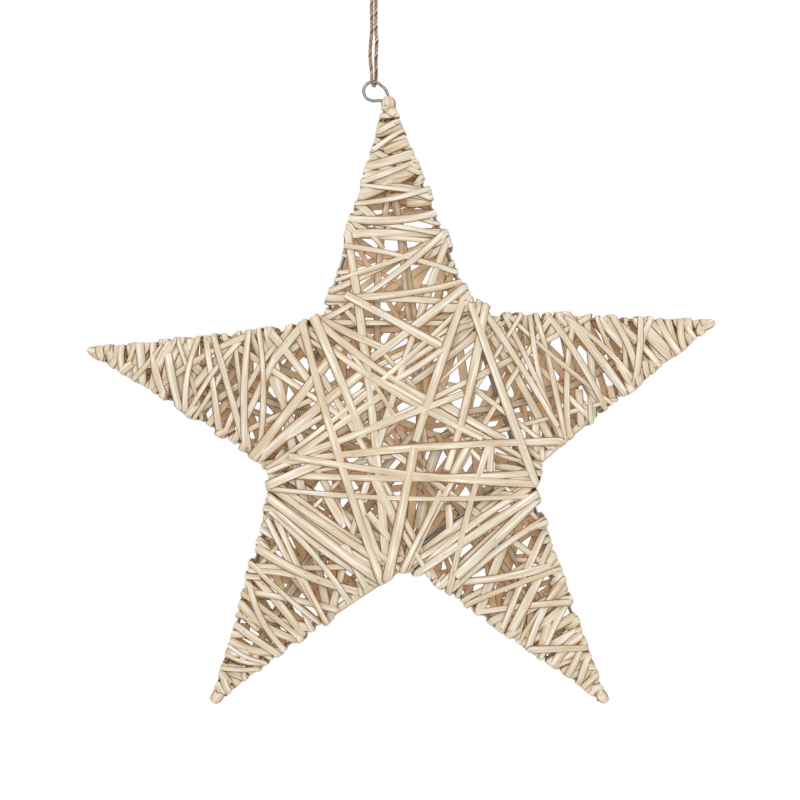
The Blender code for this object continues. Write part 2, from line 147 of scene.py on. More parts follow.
# A straight pass stays on the star if its middle does, and places beside it at a clearance
EDGE_CLEARANCE = 0.009
INSIDE_PLACES = (0.06, 0.94, 12)
CLEAR_PLACES = (0.3, 0.5, 0.7)

# How the layers build up on the faces and at the sides, less and less as the star gets thick
FULL_DEPTH_BEGINS = 0.0262
FULL_DEPTH = 0.0308
LEAST_STACKING = 0.2
LEAST_PILING = 0.15
EDGE_DROP = 0.3

# The notches between the arms, and how high the strips pile up there and along the arms' edges
NOTCH_WALL_SLOPE = 0.727
NOTCH_REACH = 0.012
NOTCH_BASE = 0.0035
NOTCH_PILES = (0.0225, 0.0215, 0.0105, 0.0090, 0.0140)
ARM_PILE_AT_TIP = 0.0028
ARM_PILE_AT_BODY = 0.0068
POINT_PILE = 0.0018
POINT_PILE_REACH = 0.030
PILE_SOFTNESS = 0.004

# Bends from a face round to a side
LIP_RADIUS = 0.0022
LIP_PROBE = 0.35
BEND_ANGLES = (20.0, 45.0, 70.0)

# Room for a strip's loose end, and how its last part is tucked under
NOTCH_TAIL_ROOM = 0.05
TAIL_ROOM_SHARE = 0.5
TAIL_ROOM_FROM = 0.008
TUCK_DEPTH = 0.0035
TUCK_LENGTH = 0.010
TUCK_CURVE = 1.5

# A strip's place counts as under other strips if it faces front or back at least so squarely, and fully so
# at this depth; the willow gets painted shade there
FACING_OUT = 0.6
BURIED_DEPTH = 0.007

# How the strips differ from one another; tail turns and rolls are in degrees
WIDTH_RANGE = (0.94, 1.06)
THICKNESS_RANGE = (0.85, 1.2)
WIDTH_CHOICES = (0.62, 0.75, 0.86, 0.95, 1.0, 1.05, 1.15, 1.3, 1.5)
TAIL_RANGE = (0.010, 0.034)
TAIL_TURN = 40.0
BOW_CHOICES = (-0.05, -0.02, -0.012, 0.0, 0.012, 0.02, 0.05)
BOW_RANGE = (0.6, 1.2)
ROLL = 9.0
PHASES = 50.0
PITH_OUT_CHANCE = 0.04

# A strip's section in half widths and thicknesses, and how much each of its points counts as edge, which the
# material darkens: partly a real brown edge, partly painted shade between strips
STRIP_SECTION = (
    (-1.0, -0.20), (-0.80, 0.28), (-0.40, 0.46), (0.40, 0.46), (0.80, 0.28), (1.0, -0.20),
    (0.84, -0.48), (-0.84, -0.48),
)
OUTER_SECTION_POINTS = 6
EDGE_SHARES = (1.0, 0.30, 0.0, 0.0, 0.30, 1.0, 0.2, 0.2)

# How a strip is swept: its closest points, its roll, its waves (share of width, length) and its UV map
SHORTEST_STEP = 0.0004
LINE_SOFTENING = (0.2, 0.6)
ROLL_LENGTH = 0.045
SLOW_WAVE = (0.07, 0.021)
QUICK_WAVE = (0.04, 0.0083)
PITH_SHOWING = 0.3
MAP_SPACING = 0.02
SHARP_STRIP_ANGLE = 42.0

# What it is worth to close a gap, and how many strips are compared for each place
GAP_CELL = 0.002
OWN_FACE_WORTH = 0.15
OVER_WIRE_WORTH = 1.6
WIDE_GAP_WORTH = 3.0
BARE_WIRE_WORTH = 3.0
LENGTH_WEIGHT = 0.75
GAP_WIRE_STEP = 0.004
GAP_ROWS = (-0.4, 0.0, 0.4)
CHOICES = 24
ARM_CHOICES = 8

# Strips led round an arm beneath the top ones
ARM_PITCHES = (0.005, 0.022)
ARM_LOWEST_START = 0.022
ARM_LOWEST = 0.012
ARM_HALF_TURNS = (2, 4, 4, 6)
ARM_LEAN = 0.36
ARM_SHIFT = 0.004
ARM_BOW = 1.6
SIDE_END_MARGIN = 0.004
BENEATH_STRIP_WIDENING = 1.3

# Strips led across the body beneath the top ones
BODY_STOPS = (2, 2, 3, 4)
BODY_FACES = (-1, -1, 1)
SHORTEST_CROSSING = 0.07
NOTCH_SHARE = 0.30
NOTCH_ANCHOR = 0.008
NOTCH_SHIFT = 0.002
ANCHOR_STRETCH = 0.090
ANCHOR_CROWDING = 1.3
ANCHOR_SHIFTS = (-0.004, 0.003)

# Top strips, and where their ends are caught
ARM_STRIP_WIDENING = 1.12
BODY_STRIP_WIDENING = 1.18
TOP_TAIL = 0.010
TOP_BACK_SHIFT = 0.012
TOP_BACK_RANGE = (0.004, 0.17)
TOP_SHIFT = 0.003
TOP_LOWEST = 0.001
TOP_BOW_MM = 0.7
SIDE_REACH = 0.010
SIDE_OUTER_REACH = 0.013
NOTCH_OUTER_REACH = 0.027
NOTCH_HALF_WIDTH = 0.009
NOTCH_CATCH = 0.006

# Loose strips inside an arm: how many, their widths, where they begin and end, and how they lie
CORE_STRIPS = 3
CORE_WIDTHS = (0.7, 1.15)
CORE_FAR = (0.68, 0.86)
CORE_NEAR = (-0.1, 0.25)
CORE_SPREAD = 0.012
CORE_SPREAD_NEAR = 2.0
CORE_SPREAD_FAR = 0.25
CORE_DEPTH = 0.010
CORE_BEND = 0.15
CORE_FLATTENING = 0.8
CORE_POINTS = 24

# The strips that bind a point: from and to (metres from the wires' end), pitch, first side, widening
TIP_HELICES = (
    (0.036, 0.001, 0.0145, 0, 1.40), (0.022, 0.002, 0.0150, 1, 1.30), (0.009, 0.0004, 0.0070, 0, 1.20),
)
TIP_START_RANGE = (0.9, 1.1)
TIP_ROUND_SHARE = 0.2
TIP_FACE_SHARE = 0.3
TIP_ROLL = 0.3

# A point's cap: millimetres in from the point, share of the height of the wraps beneath, and width
CAP_PROFILE = (
    (13.0, 0.15, 8.5), (11.5, 0.30, 9.6), (10.0, 0.55, 10.8), (8.3, 0.86, 11.6), (6.3, 1.00, 11.8),
    (4.0, 0.96, 10.8), (2.4, 0.86, 9.4), (1.1, 0.70, 7.8), (0.3, 0.38, 6.4), (0.0, 0.10, 5.4),
)
CAP_WIDTHS = (1.0, 0.72, 0.75, 0.75, 0.65)
CAP_PROBES = (0.001, 0.003, 0.005)
CAP_FOLD_MM = 3.0
CAP_FOLD_TILT = 0.7

# Willow's colours beside the add-on's own ones: tanned strips, pale pith, light streaks that are partly the
# grain's own tone and partly a painted sheen, and dull streaks
TANNED = (0.66, 0.56, 0.41, 1.0)
PALE_PITH = (1.0, 0.90, 0.74, 1.0)
PALE_GRAIN_AND_SHEEN = (0.95, 0.905, 0.82, 1.0)
DULL_STREAK = (0.86, 0.76, 0.60, 1.0)
FINE_GRAIN = (90.0, 2600.0, 1.0)
BROAD_GRAIN = (28.0, 420.0, 1.0)
SPECK_GRAIN = (55.0, 260.0, 1.0)

# What darkens the willow, real tints and painted shade: a mark, its values where a tint is absent and where
# it is full, share, tint
WILLOW_TINTS_AND_SHADE = (
    # Painted shade, warm, where a place lies under other strips
    ("buried_shade", 0.0, 1.0, 1.0, (1.0, 0.915, 0.76, 1.0)),
    # Along the edges: partly the strips' real brown edges, partly painted shade where strips meet
    ("brown_edge_and_shade", 0.0, 0.3, 0.5, (0.88, 0.65, 0.39, 1.0)),
    ("brown_edge_and_shade", 0.30, 0.68, 1.0, (0.32, 0.16, 0.06, 1.0)),
    ("fine grain", 0.45, 0.25, 0.55, (0.66, 0.52, 0.37, 1.0)),
    ("specks", 0.10, 0.05, 0.8, (0.35, 0.25, 0.17, 1.0)),
)

# Steel's mottle and roughness, and jute's fibres with the two ends of its colours
STEEL_MOTTLE = 260.0
STEEL_ROUGHNESS = (0.24, 0.34)
JUTE_GRAIN = (420.0, 14.0, 1.0)
JUTE_GRAIN_TURN = 18.0
JUTE_DARK = (0.37, (0.085, 0.047, 0.022, 1.0))
JUTE_LIGHT = (0.64, (0.64, 0.51, 0.37, 1.0))

# Camera, floor and lights; a light has a name, a place, a size and its power in watts
VIEW_CENTRE = (0.0211, -0.3549)
SENSOR_WIDTH = 36.0
VIEW_END = 50.0
FLOOR_RADIUS = 9.0
FLOOR_CORNERS = 96
FLOOR_COLOUR = (0.86, 0.86, 0.85, 1.0)
WHITE = (1.0, 1.0, 1.0, 1.0)
LIGHT_AIM = Vector((0.02, 0.0, -0.38))
LIGHTS = (
    ("key light", (-1.6, -1.9, 1.3), 0.4, 14.0),
    ("front light", (0.3, -2.6, 0.1), 0.6, 14.0),
    ("fill light", (1.8, -1.8, 0.0), 1.6, 2.0),
    ("back light", (-0.5, 2.4, -0.6), 1.2, 22.0),
)

# The strips that lie on top of each arm's front, from the first laid to the last:
# millimetres from the wires' end along the clockwise edge and along the other edge, and width
ARM_STRIPS = {
    "top": (
        (62, 41, 4.8), (120, 147, 4.0), (80, 70, 4.0), (145, 121, 4.0), (116, 101, 4.2), (27, 40, 4.2),
        (77, 88, 4.2), (55, 67, 4.2), (113, 185, 4.8), (97, 96, 6.4), (18, 25, 4.2), (12, 11, 4.2),
        (46, 55, 7.2), (155, 165, 5.6),
    ),
    "right": (
        (145, 109, 4.8), (102, 157, 3.2), (84, 67, 4.2), (152, 144, 3.6), (151, 164, 3.6), (78, 119, 4.0),
        (150, 138, 4.2), (52, 77, 5.4), (68, 47, 4.8), (74, 78, 5.4), (36, 40, 5.6), (78, 55, 4.8),
        (80, 90, 4.0), (17, 20, 5.4), (28, 25, 6.4), (108, 131, 4.8), (85, 115, 6.6),
    ),
    "lower_right": (
        (60, 83, 4.8), (73, 100, 5.4), (85, 133, 4.8), (80, 99, 4.8), (48, 56, 7.0), (34, 50, 5.4),
        (124, 82, 4.8), (71, 41, 5.4), (22, 35, 5.6), (18, 21, 4.8), (92, 123, 6.4), (98, 139, 5.2),
        (133, 108, 4.0), (164, 112, 5.6), (151, 153, 5.4), (180, 179, 5.6), (161, 168, 6.6),
    ),
    "lower_left": (
        (107, 140, 4.8), (87, 120, 4.8), (150, 110, 4.8), (160, 108, 4.8), (69, 80, 3.2), (112, 103, 4.4),
        (87, 86, 4.4), (36, 44, 3.6), (30, 35, 4.0), (25, 40, 4.0), (17, 11, 6.4), (43, 50, 3.6),
        (97, 67, 4.8), (58, 61, 5.6), (127, 145, 6.4), (158, 135, 4.8), (180, 170, 4.2), (174, 171, 4.8),
        (166, 159, 5.4),
    ),
    "left": (
        (159, 132, 5.6), (160, 122, 4.0), (118, 85, 6.4), (130, 59, 4.8), (92, 123, 5.2), (49, 67, 5.6),
        (38, 48, 6.4), (58, 83, 6.4), (36, 30, 4.0), (59, 41, 4.4), (23, 26, 5.6), (13, 18, 6.4),
        (4, 8, 6.0), (70, 103, 3.6), (117, 98, 3.4), (85, 87, 4.8), (123, 90, 4.0), (137, 158, 4.2),
        (100, 145, 4.8), (126, 148, 5.2),
    ),
}

# The strips on top of the body's front, from the first laid to the last: both ends
# (right and up from the star's centre), how far the strip bows to its left, and its width, in mm
BODY_STRIPS = (
    (30, -8, 22, -29, 0, 7.4),
    (72, -8, 70, -29, 0, 4.6),
    (18, -53, 13, -75, 0, 7.4),
    (-20, -49, -9, -71, 0, 6),
    (-61, -45, -47, -71, 0, 6.8),
    (-46, -87, -26, -125, 0, 6.6),
    (-115, -21, -31, 50, 1.5, 7.4),
    (-113, -10, -43, 78, 0, 7),
    (-82, -15, -16, 32, 0, 5.6),
    (-5, 44, 32, 68, 0, 5),
    (-105, 85, -72, 40, 0, 6.6),
    (-47, 73, -5, 13, 1.5, 3.6),
    (-68, 98, -14, 69, -1, 5.4),
    (37, -56, 38, -79, 0, 5.6),
    (53, -8, 39, -35, 0, 5.2),
    (-22, -34, -3, -75, 0, 6.2),
    (-36, -45, -17, -100, 0, 5.2),
    (-27, -62, -8, -85, 0, 5.2),
    (-29, -87, -1, -112, 0, 4.4),
    (-93, -32, -32, -87, 0, 4.6),
    (-95, -45, -25, -96, 0, 6),
    (-1, -75, 18, -120, 0, 4.2),
    (53, 119, -25, 60, 0, 6.4),
    (-45, 112, 36, 68, 0, 6),
    (-104, 57, -81, 84, 0, 5.6),
    (93, 101, 59, 38, 0, 3.6),
    (59, 36, 124, -18, 0, 3.6),
    (65, 109, 124, 7, 1, 4.6),
    (-70, 96, 24, 26, -2.7, 5.4),
    (-77, 80, 64, -3, -5, 4.6),
    (28, 27, 82, -4, 0, 6),
    (-73, 95, -31, -2, 0.5, 6.8),
    (57, 113, 11, -5, 0, 6.6),
    (-84, -17, 49, 33, 0, 5.4),
    (70, 106, 36, -28, 2.5, 6.4),
    (-109, -43, 111, -47, -5, 3.6),
    (96, -50, 12, -112, 0, 6.2),
    (107, -50, 43, -113, 0, 6.6),
    (-85, -32, 108, -30, -3, 5.4),
    (70, -6, 40, -122, -2, 4.8),
    (-110, -47, -14, -120, 0, 7),
    (-111, -41, -53, -17, 0, 6.4),
    (-113, -24, 125, -3, 4.5, 5.4),
    (-83, 92, -14, -120, -3.3, 6.2),
    (-90, -17, 119, -46, -3.5, 5.4),
    (60, 113, 111, -40, 0, 6),
    (10, -10, -9, -118, 0, 7.4),
    (31, -46, 1, -121, 0, 5.3),
)


class StarSizes(bpy.types.PropertyGroup):
    """Sizes of the willow strips and how they are wound."""

    strip_width: bpy.props.FloatProperty(
        name="Strip width", description="Usual width of a split willow strip",
        default=0.0057, min=0.001, max=0.02, subtype="DISTANCE", unit="LENGTH",
    )
    strip_thickness: bpy.props.FloatProperty(
        name="Strip thickness", description="Usual thickness of a split willow strip",
        default=0.0015, min=0.0005, max=0.005, subtype="DISTANCE", unit="LENGTH",
    )
    arm_passes: bpy.props.IntProperty(
        name="Arm passes", description="Turns round each arm beneath the top strips",
        default=5, min=0, max=80,
    )
    body_passes: bpy.props.IntProperty(
        name="Body passes", description="Passes over the body beneath the top strips",
        default=86, min=0, max=160,
    )
    seed: bpy.props.IntProperty(
        name="Seed", description="Starting number of the winding's disorder", default=11,
    )


class StarFinishes(bpy.types.PropertyGroup):
    """Colours of the star's materials."""

    willow: bpy.props.FloatVectorProperty(
        name="Willow", description="Outer face of the peeled strips",
        default=(0.69, 0.63, 0.52), size=3, min=0.0, max=1.0, subtype="COLOR",
    )
    pith: bpy.props.FloatVectorProperty(
        name="Pith", description="Split inner face of the strips",
        default=(1.0, 0.82, 0.59), size=3, min=0.0, max=1.0, subtype="COLOR",
    )
    steel: bpy.props.FloatVectorProperty(
        name="Steel", description="Galvanised wire of the stars and the ring",
        default=(0.24, 0.235, 0.235), size=3, min=0.0, max=1.0, subtype="COLOR",
    )
    jute: bpy.props.FloatVectorProperty(
        name="Jute", description="Brown jute of the twine",
        default=(0.33, 0.235, 0.145), size=3, min=0.0, max=1.0, subtype="COLOR",
    )


class StarStage(bpy.types.PropertyGroup):
    """The camera, the lights and the floor."""

    camera_distance: bpy.props.FloatProperty(
        name="Camera distance", description="From the camera to the star's middle plane",
        default=2.4, min=0.5, max=10.0, subtype="DISTANCE", unit="LENGTH",
    )
    view_width: bpy.props.FloatProperty(
        name="View width", description="Width of the square view at the star's middle plane",
        default=0.6453, min=0.1, max=5.0, subtype="DISTANCE", unit="LENGTH",
    )
    ambient: bpy.props.FloatProperty(
        name="Ambient light", description="How strongly the white surroundings light the star",
        default=0.88, min=0.0, max=2.0, subtype="FACTOR",
    )
    floor_depth: bpy.props.FloatProperty(
        name="Floor depth", description="How far the floor lies below the hanging point",
        default=2.4, min=0.7, max=10.0, subtype="DISTANCE", unit="LENGTH",
    )


def settings(group):
    """One of the add-on's groups of settings."""
    return getattr(bpy.context.scene, group)


# Small tools


def deselect_all():
    """Leave nothing selected or active."""
    for thing in bpy.context.selected_objects:
        thing.select_set(False)
    bpy.context.view_layer.objects.active = None


def dress(piece, material, slot, *nodes):
    """Give a finished piece its material and its body, and hide the frame nodes it stands for."""
    piece.data.materials.clear()
    piece.data.materials.append(material)
    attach(piece, BODY)
    if nodes:
        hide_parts(*nodes)


def smooth_curve(guides, spacing):
    """Points at an even spacing along a smooth curve through the guides."""
    count = len(guides)
    dense = []
    for index in range(count - 1):
        before = guides[max(index - 1, 0)]
        start, end = guides[index], guides[index + 1]
        after = guides[min(index + 2, count - 1)]
        for step in range(CURVE_STEPS):
            t = step / CURVE_STEPS
            dense.append(
                0.5 * (2 * start + (end - before) * t
                       + (2 * before - 5 * start + 4 * end - after) * t ** 2
                       + (3 * start - before - 3 * end + after) * t ** 3)
            )
    dense.append(guides[-1])
    lengths = [0.0]
    for first, second in zip(dense, dense[1:]):
        lengths.append(lengths[-1] + (second - first).length)
    steps = max(int(round(lengths[-1] / spacing)), 2)
    points = []
    segment = 0
    for step in range(steps + 1):
        wanted = lengths[-1] * step / steps
        while segment < len(lengths) - 2 and lengths[segment + 1] < wanted:
            segment += 1
        share = (wanted - lengths[segment]) / (lengths[segment + 1] - lengths[segment])
        points.append(dense[segment].lerp(dense[segment + 1], share))
    return points


def path_length(points):
    """Length of a line through points."""
    return sum((second - first).length for first, second in zip(points, points[1:]))


def lengths_along(line):
    """How far along a line each of its points lies."""
    return np.concatenate(((0.0,), np.cumsum(np.linalg.norm(np.diff(line, axis=0), axis=1))))


def runs_of(line):
    """The direction of a line at each of its points."""
    run = np.gradient(line, axis=0)
    return run / np.linalg.norm(run, axis=1)[:, None]


def left_of(run):
    """The direction (x, z) a quarter turn to the left of a run."""
    return np.array((-run[1], run[0]))


def unit(run):
    """A run's direction."""
    return run / np.linalg.norm(run)


def either_way(rng, limit):
    """A chance amount up to a limit, to one side or the other."""
    return rng.uniform(-limit, limit)


def tube_faces(first, rings, corners):
    """The faces of a closed tube, from its first vertex on: the wall, then both ends."""
    faces = []
    last = first + (rings - 1) * corners
    for base in range(first, last, corners):
        for corner in range(corners):
            following = (corner + 1) % corners
            above = base + corners
            faces.append((base + corner, base + following, above + following, above + corner))
    faces.append(tuple(reversed(range(first, first + corners))))
    faces.append(tuple(range(last, last + corners)))
    return faces


def swept_mesh(name, places, faces, map_name, coordinates):
    """A smooth mesh with a UV map that follows its length."""
    mesh = bpy.data.meshes.new(name)
    mesh.from_pydata(places, [], faces)
    layer = mesh.uv_layers.new(name=map_name)
    corners = np.zeros(len(mesh.loops), dtype=int)
    mesh.loops.foreach_get("vertex_index", corners)
    layer.data.foreach_set("uv", np.array(coordinates)[corners].ravel())
    mesh.shade_smooth()
    return mesh


def add_piece(name, mesh):
    """Put a mesh into the scene as a piece."""
    piece = bpy.data.objects.new(name, mesh)
    bpy.context.scene.collection.objects.link(piece)
    return piece


# The wire stars


def from_centre(radius, angle):
    """A point (x, z) of the star's plane, given from the star's centre."""
    turn = math.radians(angle)
    return STAR_CENTRE + radius * np.array((math.cos(turn), math.sin(turn)))


WIRE_ENDS = [from_centre(r - WIRE_END_INSET, a) for r, a in zip(TIP_RADII, TIP_ANGLES)]
TIPS = [from_centre(r, a) for r, a in zip(TIP_RADII, TIP_ANGLES)]


def wire_ends(number):
    """A wire's two ends; each wire joins a point to the next but one, clockwise."""
    return WIRE_ENDS[number % 5], WIRE_ENDS[(number + 2) % 5]


def wire_outward(number):
    """The direction (x, z) in which a wire faces away from the star's middle."""
    start, end = wire_ends(number)
    across = left_of(unit(end - start))
    return across if np.dot(start - STAR_CENTRE, across) > 0 else -across


def wire_bow(number, place):
    """How far a wire stands outside the straight line between its ends."""
    number = number % 5
    turn = math.pi * place
    return WIRE_BOWS[number] * math.sin(turn) + WIRE_SWAYS[number] * math.sin(2.0 * turn)


def wire_at(number, place):
    """A wire's point (x, z) at a place from 0 to 1."""
    start, end = wire_ends(number)
    return start + place * (end - start) + wire_outward(number) * wire_bow(number, place)


def crossing_place(start, end, other_start, other_end):
    """How far along one wire, from 0 to 1, it crosses another in the star's plane."""
    run = end - start
    other_run = other_end - other_start
    offset = other_start - start
    cross = run[0] * other_run[1] - run[1] * other_run[0]
    return (offset[0] * other_run[1] - offset[1] * other_run[0]) / cross


def crossings(number):
    """The two places where a wire crosses its neighbours in the body."""
    ends = wire_ends(number)
    return [crossing_place(*ends, *wire_ends(other)) for other in (number - 1, number + 1)]


def wire_depth(place, first, second):
    """How far a wire stands from the middle plane, as in the frame's solids."""
    spread = min(place / first, (1.0 - place) / (1.0 - second), 1.0)
    weave = min(max((0.5 - place) / WEAVE_CHANGE, -0.5), 0.5)
    return WIRE_PITCH + (WIRE_SPREAD - WIRE_PITCH) * spread + weave * WIRE_PITCH


def wire_points(number, side):
    """The points that one wire of the front (-1) or back (1) star follows."""
    first, second = crossings(number)
    places = [0.0, first / 2, first - BEND_REACH, first, first + BEND_REACH, 0.5 - WEAVE_CHANGE / 2]
    places += [0.5 + WEAVE_CHANGE / 2, second - BEND_REACH, second, second + BEND_REACH]
    places += [(second + 1.0) / 2, 1.0]
    points = []
    for place in places:
        x, z = wire_at(number, place)
        points.append(Vector((x, side * wire_depth(place, first, second), z)))
    return points


# Winding surfaces


class HeightField:
    """How high the willow stands over a flat grid; EMPTY where nothing is."""

    def __init__(self, low, high):
        self.low = np.array(low)
        shape = np.ceil((np.array(high) - self.low) / CELL).astype(int) + 1
        self.top = np.full(shape, EMPTY)

    def index(self, spots):
        cells = np.rint((spots - self.low) / CELL).astype(int)
        cells = np.clip(cells, 0, np.array(self.top.shape) - 1)
        return cells[..., 0], cells[..., 1]

    def over(self, spots):
        return self.top[self.index(spots)]

    def cover(self, spots, heights):
        np.maximum.at(self.top, self.index(spots), heights)


class Side:
    """A place where strips pass from front to back: an arm's edge, or a notch.

    Distances run along it, and outward points away from the star. Depth gives how far the
    wires stand from the middle plane there, wall how far outwards the first strip bears,
    and pile how far outwards the strips may pile up.
    """

    def __init__(self, origin, along, outward, depth, low, high, wall, pile):
        self.origin = origin
        self.along = along
        self.outward = outward
        self.out = np.array((outward[0], 0.0, outward[1]))
        self.depth = depth
        self.low = low
        self.high = high
        self.wall = wall
        self.pile = pile
        self.field = HeightField(
            (low - SIDE_FIELD_MARGIN, -SIDE_FIELD_DEPTH), (high + SIDE_FIELD_MARGIN, SIDE_FIELD_DEPTH)
        )
        for distance in np.arange(low - SIDE_WIRE_MARGIN, high + SIDE_WIRE_MARGIN, CELL / 2):
            wire = depth(distance)
            for face in (-1, 1):
                for shift in SIDE_WIRE_ROWS:
                    rise = math.sqrt(max(WIRE_RADIUS ** 2 - shift ** 2, 0.0))
                    self.field.cover(np.array((distance, face * wire + shift)), wall(distance) + rise)

    def spot(self, distance):
        """The wires' place (x, z) at a distance."""
        return self.origin + self.along * distance + self.outward * self.wall(distance)


def arm_side(arm, clockwise):
    """The side of an arm that faces its clockwise or its other neighbour."""
    number = arm if clockwise else arm - 2
    start, end = wire_ends(number)
    first, second = crossings(number)
    length = np.linalg.norm(end - start)
    if not clockwise:
        start, end = end, start
    reach = (first if clockwise else 1.0 - second) * length

    def place(distance):
        share = distance / length if clockwise else 1.0 - distance / length
        return min(max(share, 0.0), 1.0)

    def depth(distance):
        return wire_depth(place(distance), first, second)

    def wall(distance):
        return wire_bow(number, place(distance))

    def pile(distance):
        growing = (ARM_PILE_AT_BODY - ARM_PILE_AT_TIP) * distance / reach
        point = POINT_PILE * max(1.0 - distance / POINT_PILE_REACH, 0.0)
        return wall(distance) + ARM_PILE_AT_TIP + growing + point

    return Side(start, (end - start) / length, wire_outward(number), depth, 0.0, reach, wall, pile)


def wires_meet(number, other):
    """Where two bowed wires cross, seen from the front."""
    low, middle, high = MEETING_PLACES
    own = np.array([wire_at(number, place) for place in np.linspace(low, middle, MEETING_STEPS)])
    others = np.array([wire_at(other, place) for place in np.linspace(middle, high, MEETING_STEPS)])
    gaps = np.linalg.norm(own[:, None] - others[None, :], axis=2)
    return own[np.unravel_index(gaps.argmin(), gaps.shape)[0]]


def notch_side(notch):
    """The notch between an arm and its clockwise neighbour."""
    corner = wires_meet(notch, notch - 1)
    outward = unit(corner - STAR_CENTRE)

    def depth(_distance):
        return WIRE_SPREAD + WIRE_PITCH / 2

    def wall(distance):
        return NOTCH_BASE + NOTCH_WALL_SLOPE * abs(distance)

    def pile(_distance):
        return NOTCH_PILES[notch]

    return Side(corner, -left_of(outward), outward, depth, -NOTCH_REACH, NOTCH_REACH, wall, pile)


def upper_hull(places, heights):
    """Pull a line tight over the heights: the highest convex line from end to end."""
    kept = []
    for place, height in zip(places, heights):
        if height <= EMPTY:
            continue
        while len(kept) > 1:
            (x0, y0), (x1, y1) = kept[-2], kept[-1]
            if (y1 - y0) * (place - x0) <= (height - y0) * (x1 - x0):
                kept.pop()
            else:
                break
        kept.append((place, height))
    xs, ys = zip(*kept)
    return np.interp(places, xs, ys)


def soften(values, rounds=2, beside=0.25, own=0.5):
    """Round the kinks of a line while its ends stay."""
    values = values.copy()
    for _ in range(rounds):
        values[1:-1] = beside * values[:-2] + own * values[1:-1] + beside * values[2:]
    return values


def stretch(start, end):
    """The run and length of a straight pass, its even shares and the direction to its left."""
    run = end - start
    length = np.linalg.norm(run)
    shares = np.linspace(0.0, 1.0, max(int(length / PASS_STEP), 2) + 1)
    return run, length, shares, left_of(run) / max(length, SHORTEST_RUN)


def pressed(spots, across, strip):
    """The places that a strip presses on, in rows beside the spots of its line."""
    shifts = np.linspace(-PRESSING_SHARE, PRESSING_SHARE, PRESSING_ROWS) * strip.width
    return spots[:, None, :] + shifts[None, :, None] * across


